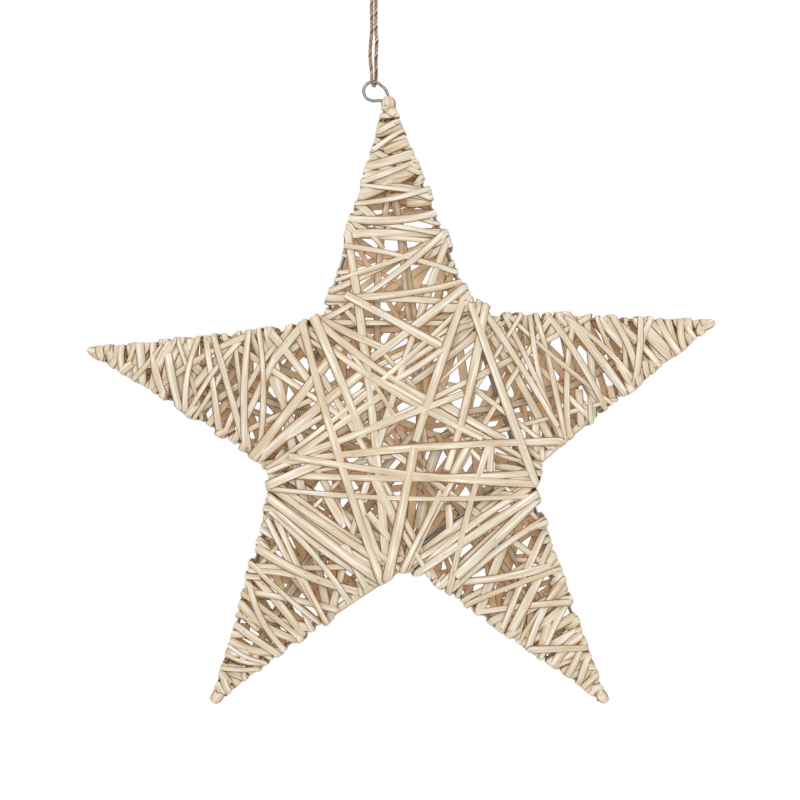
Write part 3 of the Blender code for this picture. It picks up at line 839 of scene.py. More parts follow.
class Winder:
    """Winds strips round the wire stars and keeps what has been wound."""

    def __init__(self):
        low, high = STAR_CENTRE - FIELD_REACH, STAR_CENTRE + FIELD_REACH
        self.faces = {face: HeightField(low, high) for face in (-1, 1)}
        self.sides = {}
        self.outline = []
        for number, arm in enumerate(ARMS):
            self.sides[arm, "cw"] = arm_side(number, True)
            self.sides[arm, "ccw"] = arm_side(number, False)
            self.sides[arm, "notch"] = notch_side(number)
            self.outline += [TIPS[number], self.sides[arm, "notch"].origin]
        for face in (-1, 1):
            for number in range(5):
                self.lay_wire(face, number)

    def lay_wire(self, face, number):
        """Write a wire's height into the front or back field."""
        first, second = crossings(number)
        across = wire_outward(number)
        for place in np.arange(0.0, 1.0, WIRE_PLACE_STEP):
            height = wire_depth(place, first, second)
            for shift in (-WIRE_RADIUS, 0.0, WIRE_RADIUS):
                spot = wire_at(number, place) + across * shift
                rise = math.sqrt(WIRE_RADIUS ** 2 - shift ** 2)
                self.faces[face].cover(spot, height + rise)

    def inside(self, spots):
        """Which places (x, z) lie within the wire star's outline."""
        inside = np.zeros(spots.shape[:-1], dtype=bool)
        for (ax, az), (bx, bz) in zip(self.outline, self.outline[1:] + self.outline[:1]):
            level = (spots[..., 1] < az) != (spots[..., 1] < bz)
            inside ^= level & (spots[..., 0] < ax + (spots[..., 1] - az) * (bx - ax) / (bz - az))
        return inside

    def crossable(self, start, end):
        """Whether a straight strip from start to end stays on the star."""
        run = end - start
        beside = left_of(unit(run)) * EDGE_CLEARANCE
        middle = start + run * np.linspace(*INSIDE_PLACES)[:, None]
        clear = start + run * np.array(CLEAR_PLACES)[:, None]
        return self.inside(np.concatenate((middle, clear + beside, clear - beside))).all()

    def cross_face(self, face, start, end, strip):
        """Pull a strip tight over the front or back between two places (x, z)."""
        run, length, shares, across = stretch(start, end)
        bow = strip.bow_over(length) * 4.0 * shares * (1.0 - shares)
        spots = start + shares[:, None] * run + bow[:, None] * across
        spread = pressed(spots, across, strip)
        field = self.faces[face]
        heights = field.over(spread).max(axis=1)
        known = heights[heights > EMPTY]
        usual = float(np.median(known)) if len(known) else WIRE_SPREAD / 2
        for last in (0, -1):
            if heights[last] <= EMPTY:
                heights[last] = usual
        tight = soften(upper_hull(shares * length, heights))
        room = (FULL_DEPTH - tight) / (FULL_DEPTH - FULL_DEPTH_BEGINS)
        growth = strip.thickness * np.clip(room, LEAST_STACKING, 1.0)
        tops = np.repeat((tight + growth)[:, None], PRESSING_ROWS, axis=1)
        tops[:, (0, -1)] -= strip.thickness * EDGE_DROP
        field.cover(spread, tops)
        middle = tight + strip.thickness / 2
        return [np.array((x, face * y, z)) for (x, z), y in zip(spots, middle)]

    def cross_side(self, side, face, distance, next_distance, strip):
        """Pull a strip tight round a side, from one face to the other."""
        start = np.array((distance, face * side.depth(distance)))
        end = np.array((next_distance, -face * side.depth(next_distance)))
        run, length, shares, across = stretch(start, end)
        spots = start + shares[:, None] * run
        spread = pressed(spots, across, strip)
        heights = side.field.over(spread).max(axis=1)
        for last, where in ((0, distance), (-1, next_distance)):
            heights[last] = max(heights[last], side.wall(where) + WIRE_RADIUS)
        tight = soften(upper_hull(shares * length, heights))
        limits = np.array([side.pile(where) for where in spots[:, 0]])
        growth = strip.thickness * np.clip((limits - tight) / PILE_SOFTNESS, LEAST_PILING, 1.0)
        side.field.cover(spread, np.repeat((tight + growth)[:, None], PRESSING_ROWS, axis=1))
        points = []
        for (where, y), height in zip(spots, tight + strip.thickness / 2):
            x, z = side.origin + side.along * where + side.outward * height
            points.append(np.array((x, y, z)))
        return points

    def wind(self, strip):
        """Lay one strip along its stops and return its line and its outward directions.

        A stop is (arm, side name, distance on the first face, distance on the next one).
        """
        line = []
        outs = []
        face = strip.first_face
        previous = strip.start
        for arm, side_name, distance, next_distance in strip.stops:
            side = self.sides[arm, side_name]
            around = self.cross_side(side, face, distance, next_distance, strip)
            arrival = self.lip(side, distance, around[0])
            departure = self.lip(side, next_distance, around[-1])
            if previous is None:
                free = self.tail_end(arrival, side, distance, strip)
                crossing = self.tuck(self.cross_face(face, free, arrival, strip)[::-1])[::-1]
            else:
                crossing = self.cross_face(face, previous, arrival, strip)
            self.extend(line, outs, crossing, face)
            self.bend(line, outs, arrival, side, face, side.depth(distance), abs(crossing[-1][1]), around[0])
            line.extend(around)
            outs.extend([side.out] * len(around))
            face = -face
            height = self.face_height(face, departure, strip)
            bend, bend_outs = [], []
            self.bend(bend, bend_outs, departure, side, face, side.depth(next_distance), height, around[-1])
            line.extend(reversed(bend))
            outs.extend(reversed(bend_outs))
            previous = departure
            last = side, next_distance
        if strip.end is None:
            free = self.tail_end(previous, *last, strip)
            crossing = self.tuck(self.cross_face(face, previous, free, strip))
        else:
            crossing = self.cross_face(face, previous, strip.end, strip)
        self.extend(line, outs, crossing, face)
        return line, outs

    @staticmethod
    def extend(line, outs, crossing, face):
        """Add a pass over a face to a strip's line."""
        line.extend(crossing)
        outs.extend([np.array((0.0, float(face), 0.0))] * len(crossing))

    @staticmethod
    def lip(side, distance, landing):
        """Where (x, z) a strip leaves a face to go round a side that is already wrapped."""
        wire = side.spot(distance)
        pile = np.dot(landing[[0, 2]] - wire, side.outward)
        return wire + side.outward * max(pile - LIP_RADIUS, 0.0)

    @staticmethod
    def tail_end(spot, side, distance, strip):
        """Where a strip's loose end is tucked in, inwards from a side."""
        turn = strip.tail_turn
        inward = -side.outward
        aim = inward * math.cos(turn) + left_of(inward) * math.sin(turn)
        in_notch = side.low < 0.0
        room = NOTCH_TAIL_ROOM if in_notch else TAIL_ROOM_SHARE * max(distance, TAIL_ROOM_FROM)
        return spot + aim * min(strip.tail, room)

    @staticmethod
    def tuck(crossing):
        """Push the last part of a pass down under its neighbours."""
        end = crossing[-1]
        tucked = []
        for point in crossing:
            share = max(1.0 - np.linalg.norm(point - end) / TUCK_LENGTH, 0.0)
            lowered = point.copy()
            lowered[1] -= math.copysign(TUCK_DEPTH * share ** TUCK_CURVE, point[1])
            tucked.append(lowered)
        return tucked

    def face_height(self, face, spot, strip):
        """Height of a strip's middle where it meets a face at a side."""
        reach = strip.width * LIP_PROBE
        shifts = np.array(((0, 0), (reach, 0), (-reach, 0), (0, reach), (0, -reach)))
        return float(self.faces[face].over(spot + shifts).max()) + strip.thickness / 2

    @staticmethod
    def bend(line, outs, lip, side, face, depth, height, landing):
        """Add the quarter bend between a face and a side, from the face to the side."""
        spread = np.dot(landing[[0, 2]] - lip, side.outward)
        rise = max(height - depth, WIRE_RADIUS)
        face_out = np.array((0.0, float(face), 0.0))
        for angle in BEND_ANGLES:
            turn = math.radians(angle)
            x, z = lip + side.outward * spread * math.sin(turn)
            line.append(np.array((x, face * (depth + rise * math.cos(turn)), z)))
            outs.append(face_out * math.cos(turn) + side.out * math.sin(turn))

    def buried_shade(self, line, outs, thickness):
        """How deep under the finished surface each point lies, from 0 to 1, which the material turns into
        painted shade.
        """
        shares = []
        for point, out in zip(line, outs):
            depth = 0.0
            if abs(out[1]) >= FACING_OUT:
                top = float(self.faces[1 if out[1] > 0 else -1].over(point[[0, 2]]))
                depth = top - abs(point[1]) - thickness / 2
            shares.append(min(max(depth / BURIED_DEPTH, 0.0), 1.0))
        return np.array(shares)


class Strip:
    """One willow strip: its size, tone and the stops that it is wound round."""

    def __init__(self, rng, width, thickness, stops, first_face=-1):
        self.width = width * rng.uniform(*WIDTH_RANGE)
        self.thickness = thickness * rng.uniform(*THICKNESS_RANGE)
        self.stops = stops
        self.first_face = first_face
        self.start = None
        self.end = None
        self.tail = rng.uniform(*TAIL_RANGE)
        self.tail_turn = math.radians(either_way(rng, TAIL_TURN))
        self.bow = rng.choice(BOW_CHOICES) * rng.uniform(*BOW_RANGE)
        self.set_bow = None
        self.widths = None
        self.tone = rng.random()
        self.shade = rng.random()
        self.roll = math.radians(either_way(rng, ROLL))
        self.phase = rng.uniform(0.0, PHASES)
        self.pith_out = rng.random() < PITH_OUT_CHANCE

    def bow_over(self, length):
        """How far the strip bows to its left on a pass of a given length."""
        bow = self.set_bow
        if bow is None:
            bow = min(max(self.bow * length, -MOST_BOW), MOST_BOW)
        limit = STEEPEST_BOW * length
        return min(max(bow, -limit), limit)


class StripMesh:
    """Gathers many strips into one mesh with lengthwise coordinates and tones."""

    def __init__(self):
        self.places = []
        self.coordinates = []
        self.looks = []

    def add(self, winder, line, outs, strip):
        """Sweep the strip's section along its line."""
        line = np.array(line)
        outs = np.array(outs)
        steps = np.linalg.norm(np.diff(line, axis=0), axis=1)
        keep = np.concatenate(((True,), steps > SHORTEST_STEP))
        line, outs = line[keep], outs[keep]
        if len(line) < 3:
            return
        line = soften(line, 1, *LINE_SOFTENING)
        outs = soften(outs, 1)
        run = runs_of(line)
        across = np.cross(run, outs)
        across /= np.linalg.norm(across, axis=1)[:, None]
        up = np.cross(across, run)
        along = lengths_along(line)
        roll = strip.roll * np.sin(along / ROLL_LENGTH + strip.phase)
        side = across * np.cos(roll)[:, None] + up * np.sin(roll)[:, None]
        top = up * np.cos(roll)[:, None] - across * np.sin(roll)[:, None]
        wave = 1.0 + SLOW_WAVE[0] * np.sin(along / SLOW_WAVE[1] + strip.phase)
        half = strip.width / 2 * (wave + QUICK_WAVE[0] * np.sin(along / QUICK_WAVE[1]))
        if strip.widths is not None:
            half = half * np.array(strip.widths)[keep]
        wide, high = np.array(STRIP_SECTION).T
        spread = wide * half[:, None]
        lift = (high * strip.thickness)[:, None]
        looks = np.empty((*spread.shape, 4))
        looks[...] = strip.tone, 1.0, strip.shade, 0.0
        looks[:, :OUTER_SECTION_POINTS, 1] = PITH_SHOWING if strip.pith_out else 0.0
        # The fourth look is how deep each place lies under other strips; the material paints shade by it
        looks[..., 3] = winder.buried_shade(line, outs, strip.thickness)[:, None]
        lengthwise = np.repeat(along[:, None] + strip.phase, len(wide), axis=1)
        crosswise = spread + len(self.places) * MAP_SPACING
        self.places.append(line[:, None] + side[:, None] * spread[..., None] + top[:, None] * lift)
        self.coordinates.append(np.stack((lengthwise, crosswise), axis=-1))
        self.looks.append(looks)

    def finish(self, name):
        """Make the piece."""
        corners = len(STRIP_SECTION)
        faces = []
        rings = 0
        for places in self.places:
            faces += tube_faces(rings * corners, len(places), corners)
            rings += len(places)
        places = np.concatenate(self.places).reshape(-1, 3).tolist()
        coordinates = np.concatenate(self.coordinates).reshape(-1, 2)
        mesh = swept_mesh(name, places, faces, "Along the strip", coordinates)
        looks = mesh.attributes.new("strip_look", "FLOAT_COLOR", "POINT")
        looks.data.foreach_set("color", np.concatenate(self.looks).ravel())
        # How much each point counts as edge, which the material darkens with real brown and with painted
        # shade
        edges = mesh.attributes.new("strip_edge", "FLOAT", "POINT")
        edges.data.foreach_set("value", np.tile(EDGE_SHARES, rings))
        mesh.validate()
        mesh.set_sharp_from_angle(angle=math.radians(SHARP_STRIP_ANGLE))
        return add_piece(name, mesh)


# Winding plans


class Gaps:
    """Which parts of the star are still open, so that the next strips close the gaps."""

    def __init__(self, winder):
        self.winder = winder
        self.low = STAR_CENTRE - FIELD_REACH
        count = int(2 * FIELD_REACH / GAP_CELL) + 1
        grid = np.stack(np.meshgrid(np.arange(count), np.arange(count), indexing="ij"), axis=-1)
        inside = winder.inside(self.low + grid * GAP_CELL)
        self.open = {"either": inside, -1: inside.copy(), 1: inside.copy()}
        self.worth = self.worths()
        self.own_worth = np.full((count, count), OWN_FACE_WORTH)
        for number in range(5):
            for place in np.arange(0.0, 1.0, GAP_WIRE_STEP):
                x, z = self.cells(wire_at(number, place))
                self.own_worth[x - 1:x + 2, z - 1:z + 2] = OVER_WIRE_WORTH
        self.bare = {place: np.ones(int(side.high / GAP_CELL) + 1) for place, side in winder.sides.items()}

    def cells(self, spots):
        """The grid's cells at places (x, z)."""
        return np.rint((spots - self.low) / GAP_CELL).astype(int)

    def worths(self):
        """What closing each place is worth: most in the middle of a wide gap."""
        gaps = self.open["either"]
        wide = gaps.copy()
        for shift, axis in ((-1, 0), (1, 0), (-1, 1), (1, 1)):
            wide &= np.roll(gaps, shift, axis)
        return gaps + WIDE_GAP_WORTH * wide

    def edges(self, strip):
        """The stretches (side, cells) of the bare wires that a strip covers on its way round."""
        for arm, name, distance, next_distance in strip.stops:
            if name == "notch":
                continue
            low = min(distance, next_distance) - strip.width / 2
            high = max(distance, next_distance) + strip.width / 2
            yield (arm, name), slice(max(int(low / GAP_CELL), 0), max(int(high / GAP_CELL), 0) + 1)

    def passes(self, strip):
        """The straight passes (face, cells) of a strip over the front and the back."""
        face = strip.first_face
        places = []
        if strip.start is not None:
            places.append((face, strip.start, strip.start))
        for arm, name, distance, next_distance in strip.stops:
            side = self.winder.sides[arm, name]
            face = -face
            places.append((face, side.spot(distance), side.spot(next_distance)))
        if strip.end is not None:
            places.append((face, strip.end, strip.end))
        shifts = np.array(GAP_ROWS)[None, :, None] * strip.width
        for (face, _, start), (_, end, _) in zip(places, places[1:]):
            run = end - start
            steps = max(int(np.linalg.norm(run) / GAP_CELL), 2)
            shares = np.linspace(0.0, 1.0, steps)[:, None, None]
            spots = start + shares * run + shifts * left_of(unit(run))
            cells = np.unique(self.cells(spots).reshape(-1, 2), axis=0)
            yield face, (cells[:, 0], cells[:, 1])

    def gain(self, strip):
        """How much a strip would close, for its length."""
        gained = 0.0
        total = 1
        for face, cells in self.passes(strip):
            gained += self.worth[cells].sum() + (self.open[face][cells] * self.own_worth[cells]).sum()
            total += len(cells[0])
        for place, cells in self.edges(strip):
            gained += BARE_WIRE_WORTH * self.bare[place][cells].sum()
        return gained / total ** LENGTH_WEIGHT

    def lay(self, strip):
        """Count a strip as laid."""
        for face, cells in self.passes(strip):
            self.open["either"][cells] = False
            self.open[face][cells] = False
        for place, cells in self.edges(strip):
            self.bare[place][cells] = 0.0
        self.worth = self.worths()

    def best(self, strips):
        """Lay the strip that closes the most, and return it."""
        chosen = max(strips, key=self.gain)
        self.lay(chosen)
        return chosen


def pick_width(rng, usual):
    """Most strips are near the usual width, a few are broad and some are thin."""
    return usual * rng.choice(WIDTH_CHOICES)


def arm_strip(winder, rng, arm, sizes):
    """A strip led round and round an arm in a helix."""
    reach = min(winder.sides[arm, "cw"].high, winder.sides[arm, "ccw"].high) - SIDE_END_MARGIN
    while True:
        names = ["ccw", "cw"] if rng.random() < 0.5 else ["cw", "ccw"]
        pitch = rng.uniform(*ARM_PITCHES) * rng.choice((-1, 1))
        start = rng.uniform(ARM_LOWEST_START, reach)
        stops = []
        for half_turn in range(rng.choice(ARM_HALF_TURNS)):
            middle = start + pitch * half_turn / 2
            lean = either_way(rng, ARM_LEAN) * middle
            here = middle + lean * (1 if half_turn % 2 else -1) / 2
            there = here + either_way(rng, ARM_SHIFT)
            if not (ARM_LOWEST < here < reach and ARM_LOWEST < there < reach):
                break
            stops.append((arm, names[half_turn % 2], here, there))
        if len(stops) > 1:
            width = pick_width(rng, sizes.strip_width) * BENEATH_STRIP_WIDENING
            strip = Strip(rng, width, sizes.strip_thickness, stops, rng.choice((-1, 1)))
            strip.bow *= ARM_BOW
            return strip


def arm_windings(winder, rng, gaps, arm, sizes):
    """Strips that close the gaps of an arm."""
    plans = []
    made = 0.0
    while made < sizes.arm_passes:
        strip = gaps.best([arm_strip(winder, rng, arm, sizes) for _ in range(ARM_CHOICES)])
        made += (len(strip.stops) - 1) / 2
        plans.append(strip)
    return plans


def tip_windings(rng, arm, sizes):
    """The close turns that bind an arm's point."""
    plans = []
    for start, end, pitch, first, widening in TIP_HELICES:
        stops = []
        place = start * rng.uniform(*TIP_START_RANGE)
        half_turn = first
        while place > end:
            following = max(place - pitch * TIP_ROUND_SHARE, 0.0)
            stops.append((arm, ("cw", "ccw")[half_turn % 2], place, following))
            place = following - pitch * TIP_FACE_SHARE
            half_turn += 1
        strip = Strip(rng, sizes.strip_width * widening, sizes.strip_thickness, stops)
        strip.bow = 0.0
        strip.pith_out = False
        strip.roll *= TIP_ROLL
        plans.append(strip)
    return plans


def tip_cap(winder, rng, number, sizes):
    """The short strip that is folded over an arm's point, and its outward directions."""
    strip = Strip(rng, MM, sizes.strip_thickness, ())
    strip.widths = [width * CAP_WIDTHS[number] for _, _, width in (*CAP_PROFILE, *CAP_PROFILE[::-1])]
    strip.pith_out = False
    tip = TIPS[number]
    inward = unit(STAR_CENTRE - tip)
    near = np.array([tip + inward * (WIRE_END_INSET + reach) for reach in CAP_PROBES])
    line, outs = [], []
    for face, order in ((-1, 1), (1, -1)):
        height = float(winder.faces[face].over(near).max())
        for reach, lift, _ in CAP_PROFILE[::order]:
            x, z = tip + inward * reach * MM
            line.append(np.array((x, face * height * lift, z)))
            over = max(1.0 - reach / CAP_FOLD_MM, 0.0)
            outward = -inward[0] * over, face * (1.0 - over * CAP_FOLD_TILT), -inward[1] * over
            outs.append(unit(np.array(outward)))
    return strip, line, outs


def core_strips(rng, sizes):
    """Loose lengthwise strips that are caught between the front and the back."""
    laid = []
    for number, arm in enumerate(ARMS):
        reach = TIPS[number] - STAR_CENTRE
        for _ in range(CORE_STRIPS):
            strip = Strip(rng, sizes.strip_width * rng.uniform(*CORE_WIDTHS), sizes.strip_thickness, ())
            far = STAR_CENTRE + reach * rng.uniform(*CORE_FAR)
            spread = np.array((either_way(rng, CORE_SPREAD), either_way(rng, CORE_SPREAD)))
            near = STAR_CENTRE + reach * rng.uniform(*CORE_NEAR) + CORE_SPREAD_NEAR * spread
            far = far + spread * CORE_SPREAD_FAR
            depth = either_way(rng, CORE_DEPTH)
            line = []
            for share in np.linspace(0.0, 1.0, CORE_POINTS):
                x, z = near + (far - near) * share
                bend = math.sin(share * math.pi) * strip.bow * CORE_BEND
                line.append(np.array((x + bend, depth * (1.0 - CORE_FLATTENING * share), z - bend)))
            laid.append((arm, strip, line, [np.array((0.0, -1.0, 0.0))] * len(line)))
    return laid


def random_anchor(winder, rng):
    """A place near the body where a strip can go round."""
    arm = rng.choice(ARMS)
    if rng.random() < NOTCH_SHARE:
        distance = rng.triangular(-NOTCH_ANCHOR, NOTCH_ANCHOR, 0.0)
        return arm, "notch", distance, distance + either_way(rng, NOTCH_SHIFT)
    name = rng.choice(("cw", "ccw"))
    side = winder.sides[arm, name]
    distance = side.high - SIDE_END_MARGIN - ANCHOR_STRETCH * rng.random() ** ANCHOR_CROWDING
    return arm, name, distance, distance + rng.uniform(*ANCHOR_SHIFTS)


def body_strip(winder, rng, sizes):
    """A strip led across the body from notch to notch or from arm to arm."""
    wanted = rng.choice(BODY_STOPS)
    stops = []
    while len(stops) < wanted:
        candidate = random_anchor(winder, rng)
        if stops:
            here = winder.sides[stops[-1][:2]].spot(stops[-1][3])
            there = winder.sides[candidate[:2]].spot(candidate[2])
            if np.linalg.norm(there - here) < SHORTEST_CROSSING or not winder.crossable(here, there):
                continue
        stops.append(candidate)
    first_face = rng.choice(BODY_FACES)
    return Strip(rng, pick_width(rng, sizes.strip_width), sizes.strip_thickness, stops, first_face)


def body_windings(winder, rng, gaps, sizes):
    """Strips that close the gaps of the body."""
    plans = []
    made = 0
    while made < sizes.body_passes:
        strip = gaps.best([body_strip(winder, rng, sizes) for _ in range(CHOICES)])
        made += len(strip.stops) - 1
        plans.append(strip)
    return plans


def top_windings(rng, arm, sizes):
    """The chosen strips that lie on top of an arm's front."""
    plans = []
    for clockwise, anticlockwise, width in ARM_STRIPS[arm]:
        ends = [(arm, "cw", clockwise * MM), (arm, "ccw", anticlockwise * MM)]
        if rng.random() < 0.5:
            ends.reverse()
        lowest, highest = TOP_BACK_RANGE
        back = min(max(ends[0][2] + either_way(rng, TOP_BACK_SHIFT), lowest), highest)
        ends.append((arm, ends[0][1], back))
        stops = [(*end, max(end[2] + either_way(rng, TOP_SHIFT), TOP_LOWEST)) for end in ends]
        strip = Strip(rng, width * MM * ARM_STRIP_WIDENING, sizes.strip_thickness, stops, first_face=1)
        strip.tail = TOP_TAIL
        strip.bow *= ARM_BOW
        strip.pith_out = False
        plans.append(strip)
    return plans


def side_near(winder, spot):
    """The side (arm, side name, distance) that a strip's end lies on, or None for a loose end."""
    nearest = None
    nearest_gap = math.inf
    for (arm, name), side in winder.sides.items():
        distance = float(np.dot(spot - side.origin, side.along))
        outer_reach = SIDE_OUTER_REACH
        if name == "notch":
            if abs(distance) > NOTCH_HALF_WIDTH + NOTCH_CATCH:
                continue
            distance = max(-NOTCH_HALF_WIDTH, min(NOTCH_HALF_WIDTH, distance))
            outer_reach = NOTCH_OUTER_REACH
        elif not 0.0 < distance < side.high - SIDE_END_MARGIN:
            continue
        gap = float(np.dot(spot - side.spot(distance), side.outward))
        if -SIDE_REACH < gap < outer_reach and abs(gap) < nearest_gap:
            nearest_gap = abs(gap)
            nearest = arm, name, distance
    return nearest


def top_body_windings(winder, rng, sizes):
    """The chosen strips that lie on top of the body's front."""
    plans = []
    for start_x, start_z, end_x, end_z, bow, width in BODY_STRIPS:
        ends = [STAR_CENTRE + np.array(place) * MM for place in ((start_x, start_z), (end_x, end_z))]
        sides = [side_near(winder, end) for end in ends]
        stops = [(*side, side[2] + either_way(rng, NOTCH_SHIFT)) for side in sides if side]
        broad = width * MM * BODY_STRIP_WIDENING
        strip = Strip(rng, broad, sizes.strip_thickness, stops, first_face=1 if sides[0] else -1)
        strip.set_bow = (bow + either_way(rng, TOP_BOW_MM)) * MM
        strip.pith_out = False
        strip.start, strip.end = (None if side else end for side, end in zip(sides, ends))
        plans.append(strip)
    return plans


# Materials


class Nodes:
    """Adds shader nodes to a tree and leads them to its last node."""

    def __init__(self, tree, last):
        self.tree = tree
        self.last = tree.nodes[last]

    def feed(self, node, inputs):
        """Set a node's inputs, each to a value or to the output that leads there."""
        for name, value in inputs.items():
            if isinstance(value, bpy.types.NodeSocket):
                self.tree.links.new(value, node.inputs[name])
            else:
                node.inputs[name].default_value = value

    def add(self, kind, inputs=None, **choices):
        """Add a node and return its outputs."""
        node = self.tree.nodes.new(f"ShaderNode{kind}")
        for name, value in choices.items():
            setattr(node, name, value)
        self.feed(node, inputs or {})
        return node.outputs

    def stretched(self, kind, place, scale, turn=0.0, **inputs):
        """Add a texture that is stretched along and across a place's coordinates."""
        mapping = self.add("Mapping", {"Vector": place, "Scale": scale, "Rotation": (0.0, 0.0, turn)})
        return self.add(kind, {"Vector": mapping["Vector"], "Scale": 1.0, **inputs})

    def ramp(self, value, low, high, start, end):
        """Lead a value from one range to another."""
        inputs = {"Value": value, "From Min": low, "From Max": high, "To Min": start, "To Max": end}
        return self.add("MapRange", inputs)["Result"]

    def mix(self, kind, factor, first, second):
        """Mix two colours; the node's colour sockets go by number."""
        return self.add("Mix", {0: factor, 6: first, 7: second}, data_type="RGBA", blend_type=kind)[2]

    def bump(self, height, strength, distance):
        """Raise the surface by a height."""
        bump = self.add("Bump", {"Height": height, "Strength": strength, "Distance": distance})
        self.feed(self.last, {"Normal": bump["Normal"]})


def new_material(name, inputs):
    """A node material with some of its shader's inputs set, and its nodes."""
    material = bpy.data.materials.new(name)
    material.use_nodes = True
    nodes = Nodes(material.node_tree, "Principled BSDF")
    nodes.feed(nodes.last, inputs)
    return material, nodes


def willow_material():
    """Peeled split willow: pale cream outside and warm tan on its split face, with painted shade under other
    strips and at the edges, and a painted sheen.
    """
    finishes = settings("star_finishes")
    material, nodes = new_material("peeled willow", {"Roughness": 0.55, "Specular IOR Level": 0.35})
    look = nodes.add("Attribute", attribute_name="strip_look")
    tone, split_face, shade = nodes.add("SeparateColor", {"Color": look["Color"]})
    place = nodes.add("UVMap", uv_map="Along the strip")["UV"]
    fine = nodes.stretched("TexNoise", place, FINE_GRAIN, Detail=4.0)["Fac"]
    broad = nodes.stretched("TexNoise", place, BROAD_GRAIN, Detail=3.0)["Fac"]
    marks = {
        "buried_shade": look["Alpha"],
        "brown_edge_and_shade": nodes.add("Attribute", attribute_name="strip_edge")["Fac"],
        "fine grain": fine,
        "specks": nodes.stretched("TexVoronoi", place, SPECK_GRAIN)["Distance"],
    }
    outer = nodes.mix("MIX", tone, (*finishes.willow, 1.0), TANNED)
    # Pale patches along the grain: partly the wood's own tone, partly a painted sheen highlight
    outer = nodes.mix("MIX", nodes.ramp(broad, 0.50, 0.70, 0.0, 0.9), outer, PALE_GRAIN_AND_SHEEN)
    outer = nodes.mix("MULTIPLY", nodes.ramp(broad, 0.50, 0.30, 0.0, 0.8), outer, DULL_STREAK)
    inner = nodes.mix("MIX", shade, (*finishes.pith, 1.0), PALE_PITH)
    colour = nodes.mix("MIX", split_face, outer, inner)
    # Painted shade under other strips and along the edges, real brown edges, and the real grain and specks
    for mark, absent, full, most, tint in WILLOW_TINTS_AND_SHADE:
        colour = nodes.mix("MULTIPLY", nodes.ramp(marks[mark], absent, full, 0.0, most), colour, tint)
    nodes.feed(nodes.last, {"Base Color": colour})
    nodes.bump(fine, 0.5, 0.0004)
    return material


def steel_material():
    """Bright galvanised wire with a faint mottle."""
    colour = (*settings("star_finishes").steel, 1.0)
    material, nodes = new_material("galvanised steel wire", {"Base Color": colour, "Metallic": 1.0})
    place = nodes.add("TexCoord")["Object"]
    mottle = nodes.add("TexNoise", {"Vector": place, "Scale": STEEL_MOTTLE})["Fac"]
    nodes.feed(nodes.last, {"Roughness": nodes.ramp(mottle, 0.0, 1.0, *STEEL_ROUGHNESS)})
    return material


def jute_material():
    """Brown jute with fibres that follow the twist."""
    material, nodes = new_material("jute twine", {"Roughness": 0.85, "Specular IOR Level": 0.2})
    place = nodes.add("UVMap", uv_map="Along the twine")["UV"]
    turn = math.radians(JUTE_GRAIN_TURN)
    fibres = nodes.stretched("TexNoise", place, JUTE_GRAIN, turn, Detail=5.0)["Fac"]
    colour = nodes.add("ValToRGB", {"Fac": fibres})["Color"]
    steps = colour.node.color_ramp.elements
    for step, (position, tint) in zip(steps, (JUTE_DARK, JUTE_LIGHT)):
        step.position = position
        step.color = tint
    steps.new(0.5).color = (*settings("star_finishes").jute, 1.0)
    nodes.feed(nodes.last, {"Base Color": colour})
    nodes.bump(fibres, 0.7, 0.0003)
    return material


# Operators


class STAR_OT_camera(bpy.types.Operator):
    """Set the camera straight in front, as in the photograph"""

    bl_idname = "star.camera"
    bl_label = "Camera"

    def execute(self, context):
        stage = settings("star_stage")
        deselect_all()
        x, z = VIEW_CENTRE
        bpy.ops.object.camera_add(
            location=(x, -stage.camera_distance, z), rotation=(math.radians(90.0), 0.0, 0.0),
        )
        camera = context.object
        camera.name = "camera"
        camera.data.sensor_width = SENSOR_WIDTH
        camera.data.lens = SENSOR_WIDTH * stage.camera_distance / stage.view_width
        camera.data.clip_end = VIEW_END
        context.scene.camera = camera
        return {"FINISHED"}


def twine_leg_guides():
    """The two strands from the knot down to the ring, turning under its wire."""
    top = KNOT_CENTRE_Z - KNOT_HALF_HEIGHT - KNOT_CLEARANCE
    ring_top = RING_CENTRE[1] + RING_RADIUS
    turn_z = ring_top - RING_WIRE_RADIUS - RING_CLEARANCE - TWINE_DIAMETER / 2
    bowed = STRAND_HALF_GAP + STRAND_BOW

    # Middle of the two strands, half the gap between them, their depth and their height
    stations = (
        (0.0, STRAND_HALF_GAP, 0.0, top),
        (0.0, STRAND_HALF_GAP, 0.0, -0.0560),
        (0.0, bowed, 0.0004, -0.0645),
        (RING_CENTRE[0], bowed, 0.0010, -0.0780),
        (0.0, 0.0018, 0.0028, -0.0905),
        (0.0, TURN_HALF_WIDTH, TURN_HALF_DEPTH, turn_z + 0.0036),
    )
    down = [Vector((middle - gap, -depth, height)) for middle, gap, depth, height in stations]
    up = [Vector((middle + gap, depth, height)) for middle, gap, depth, height in reversed(stations)]
    return [*down, Vector((0.0, 0.0, turn_z)), *up]


def twine_eye_guides():
    """The small eye above the knot."""
    foot = KNOT_CENTRE_Z + KNOT_HALF_HEIGHT
    top = TWINE_DIAMETER / 2

    # Half the eye's width and its height, from its foot up
    stations = (
        (0.0021, foot + KNOT_CLEARANCE),
        (0.0046, foot + 0.0050),
        (0.0062, top - 0.0065),
        (0.0042, top - 0.0014),
    )
    up = [Vector((-wide, 0.0, height)) for wide, height in stations]
    down = [Vector((wide, 0.0, height)) for wide, height in reversed(stations)]
    return [*up, Vector((0.0, 0.0, top)), *down]


def knot_guides(centre):
    """The turns of the knot round the twine's own strands."""
    guides = []
    for step in range(KNOT_STEPS + 1):
        share = step / KNOT_STEPS
        angle = 2.0 * math.pi * (KNOT_TURNS * share + KNOT_TURNS_START)
        reach = KNOT_REACH - KNOT_BULGE * math.cos(2.0 * math.pi * share)
        height = KNOT_TURNS_TOP - 2.0 * KNOT_TURNS_TOP * share
        right, back = reach * math.cos(angle), KNOT_FLATNESS * reach * math.sin(angle)
        guides.append(centre + Vector((right, back, height)))
    return guides


